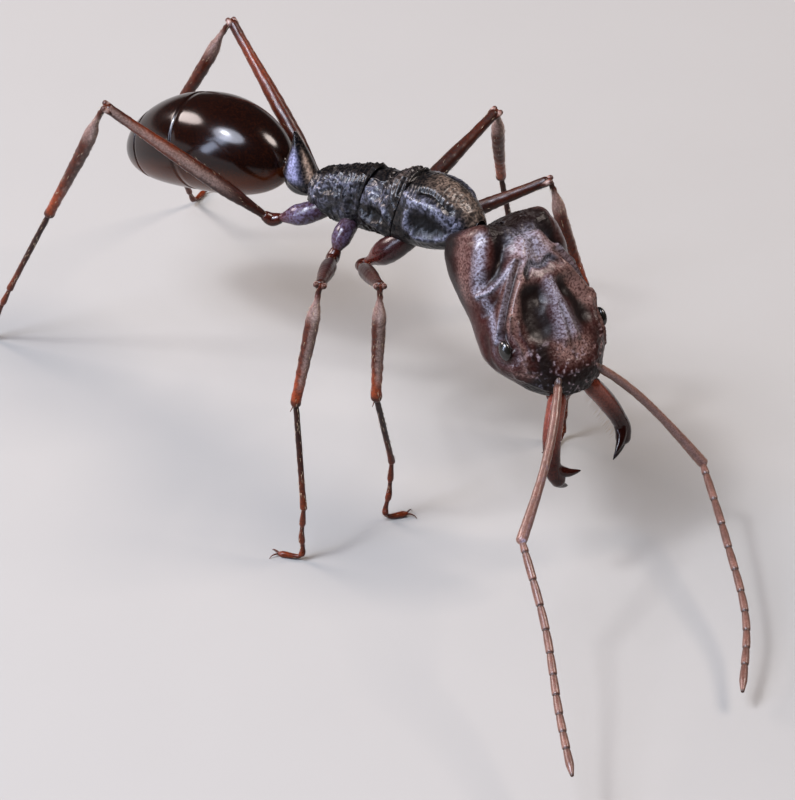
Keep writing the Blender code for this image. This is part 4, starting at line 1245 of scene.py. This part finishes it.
class ANT_OT_legs(bpy.types.Operator):
    """Builds the six legs, from the coxae to the claws"""

    bl_idname = "ant.legs"
    bl_label = "Legs"

    def execute(self, context):
        sizes = context.scene.ant_limbs
        for pair in LEG_BASES:
            for side, sign in SIDES:
                points = leg_points(pair, side, sign)
                for piece, (draw, kind, slot) in LEG_PIECES.items():
                    node = f"{piece}_{pair}_{side}"
                    drawing = draw(points, sizes, pair)
                    drawing.build(f"Leg_{node}", finish(kind), slot, [node])
                    SKINS[node] = drawing.skins
        return {"FINISHED"}


class ANT_OT_feelers(bpy.types.Operator):
    """Builds the two feelers: a scape and a jointed whip each"""

    bl_idname = "ant.feelers"
    bl_label = "Feelers"

    def execute(self, context):
        sizes = context.scene.ant_limbs
        for side, sign in SIDES:
            scape, whip = draw_scape(side, sign, sizes), draw_funiculus(side, sign, sizes)
            scape.build(f"Feeler_scape_{side}", finish("feeler"), "feeler", [f"scape_{side}"])
            whip.build(f"Feeler_whip_{side}", finish("feeler"), "feeler",
                       [f"funiculus_{part}_{side}" for part in ("base", "middle", "tip")])
        return {"FINISHED"}


class ANT_OT_hairs(bpy.types.Operator):
    """Builds the bristles of the legs and the jaws"""

    bl_idname = "ant.hairs"
    bl_label = "Hairs"

    def execute(self, context):
        hairs = context.scene.ant_hairs
        seed = 0
        for pair in LEG_BASES:
            for side, _ in SIDES:
                drawing = Drawing()
                for piece, share in (("femur", 1.0), ("tibia", 1.3), ("basitarsus", 1.6)):
                    seed += 1
                    hairs_on(drawing, SKINS[f"{piece}_{pair}_{side}"][0], int(hairs.per_limb * share),
                             hairs.length, hairs.width, seed)
                for joint in SKINS[f"tarsus_{pair}_{side}"][:4]:
                    seed += 1
                    hairs_on(drawing, joint, int(hairs.per_limb * 0.2), hairs.length * 0.8,
                             hairs.width, seed)
                drawing.build(f"Hairs_leg_{pair}_{side}", finish("hair"), "leg")
        for side, sign in SIDES:
            drawing = Drawing()
            dice = np.random.default_rng(40 + sign)
            for step in range(JAW_HAIRS):
                root = np.array((-0.04, -0.20 - 0.045 * step, -0.05 + 0.03 * dice.random()))
                size = 0.13 + 0.05 * dice.random()
                tip = root + (-size, -0.05 * dice.random(), -0.04 - 0.05 * dice.random())
                bend = on_jaw(np.array((root, (root + tip) / 2 + (0, 0, 0.01), tip)), side, sign)
                one_hair(drawing, bend, hairs.width, (0.5, step / JAW_HAIRS))
            drawing.build(f"Hairs_jaw_{side}", finish("hair"), "jaw")
        return {"FINISHED"}


class ANT_OT_studio(bpy.types.Operator):
    """Sets out the pale floor, the soft lights and the camera"""

    bl_idname = "ant.studio"
    bl_label = "Studio"

    def execute(self, context):
        studio = context.scene.ant_studio
        scene = context.scene
        reach = np.linspace(-FLOOR_REACH, FLOOR_REACH, FLOOR_POINTS)
        x, y = np.meshgrid(reach, reach)
        points = np.stack((x, y, np.full_like(x, -0.001)), -1)
        mesh = bpy.data.meshes.new("Floor")
        mesh.from_pydata((points.reshape(-1, 3) * MM).tolist(), [],
                         grid_faces(FLOOR_POINTS, FLOOR_POINTS, closed=False))
        floor = bpy.data.objects.new("Floor", mesh)
        scene.collection.objects.link(floor)
        paper = bpy.data.materials.new("Paper, matt, pale")
        paper.use_nodes = True
        shader = paper.node_tree.nodes["Principled BSDF"]
        fibre = add(paper.node_tree, "ShaderNodeTexNoise", {"Scale": 900.0, "Detail": 3.0})
        tone = add(paper.node_tree, "ShaderNodeMix",
                   {0: fibre.outputs["Fac"], 6: (*(c * 0.97 for c in studio.floor), 1),
                    7: (*studio.floor, 1)}, data_type="RGBA").outputs[2]
        paper.node_tree.links.new(tone, shader.inputs["Base Color"])
        shader.inputs["Roughness"].default_value = 0.9
        mesh.materials.append(paper)

        azimuth, elevation, roll = studio.azimuth, studio.elevation, studio.roll
        toward = np.array((math.sin(azimuth) * math.cos(elevation),
                           -math.cos(azimuth) * math.cos(elevation), math.sin(elevation)))
        level = np.array((math.cos(azimuth), math.sin(azimuth), 0.0))
        rise = np.cross(toward, level)
        right = math.cos(roll) * level + math.sin(roll) * rise
        up = -math.sin(roll) * level + math.cos(roll) * rise
        aim = STAND_AT + TRUNK_AT + CAMERA_AIM[0] * right + CAMERA_AIM[1] * up
        camera = bpy.data.objects.new("Camera", bpy.data.cameras.new("Camera"))
        scene.collection.objects.link(camera)
        camera.matrix_world = standing(aim + CAMERA_DISTANCE * toward, (right, up, toward))
        camera.data.sensor_fit = "HORIZONTAL"
        camera.data.sensor_width = SENSOR_WIDTH
        camera.data.lens = CAMERA_LENS
        camera.data.clip_start = 0.002
        camera.data.clip_end = 10.0
        scene.camera = camera

        axes = np.stack((right, up, toward), 1)
        for name, (way, lie, long, short, share, colour) in LIGHTS.items():
            back, along = axes @ unit(way), axes @ unit(lie)
            across = unit(along - back * (along @ back))
            data = bpy.data.lights.new(name, "AREA")
            data.shape = "ELLIPSE"
            data.size, data.size_y = long * MM, short * MM
            data.energy = studio.power * share
            data.color = linear(colour)
            light = bpy.data.objects.new(name, data)
            scene.collection.objects.link(light)
            light.matrix_world = standing(LIGHT_MIDDLE + LIGHT_DISTANCE * back,
                                          (across, np.cross(back, across), back))

        world = bpy.data.worlds.new("Studio")
        scene.world = world
        world.use_nodes = True
        world.node_tree.nodes["Background"].inputs["Color"].default_value = (*linear("#c9ccd2"), 1)
        world.node_tree.nodes["Background"].inputs["Strength"].default_value = 0.06
        scene.view_settings.view_transform = "Standard"
        return {"FINISHED"}


class ANT_PT_sidebar(bpy.types.Panel):
    """Lists the pieces of the model with their sizes and colours"""

    bl_idname = "ANT_PT_sidebar"
    bl_label = "Trap-jaw ant"
    bl_space_type = "VIEW_3D"
    bl_region_type = "UI"
    bl_category = "Ant"

    def draw(self, context):
        layout = self.layout
        for group in (context.scene.ant_look, context.scene.ant_limbs, context.scene.ant_hairs,
                      context.scene.ant_studio):
            column = layout.box().column()
            for key in group.__annotations__:
                column.prop(group, key)
        column = layout.column()
        for operator in OPERATORS:
            column.operator(operator.bl_idname)


GROUPS = {"ant_look": AntLook, "ant_limbs": AntLimbs, "ant_hairs": AntHairs, "ant_studio": AntStudio}
OPERATORS = (ANT_OT_head, ANT_OT_eyes, ANT_OT_jaws, ANT_OT_trunk, ANT_OT_gaster, ANT_OT_legs,
             ANT_OT_feelers, ANT_OT_hairs, ANT_OT_studio)


def register():
    for one in (*GROUPS.values(), *OPERATORS, ANT_PT_sidebar):
        bpy.utils.register_class(one)
    for key, group in GROUPS.items():
        setattr(bpy.types.Scene, key, PointerProperty(type=group))


def unregister():
    for key in GROUPS:
        delattr(bpy.types.Scene, key)
    for one in reversed((*GROUPS.values(), *OPERATORS, ANT_PT_sidebar)):
        bpy.utils.unregister_class(one)


def main():
    register()
    for operator in OPERATORS:
        getattr(bpy.ops.ant, operator.bl_idname.split(".")[1])()


if __name__ == "__main__":
    main()
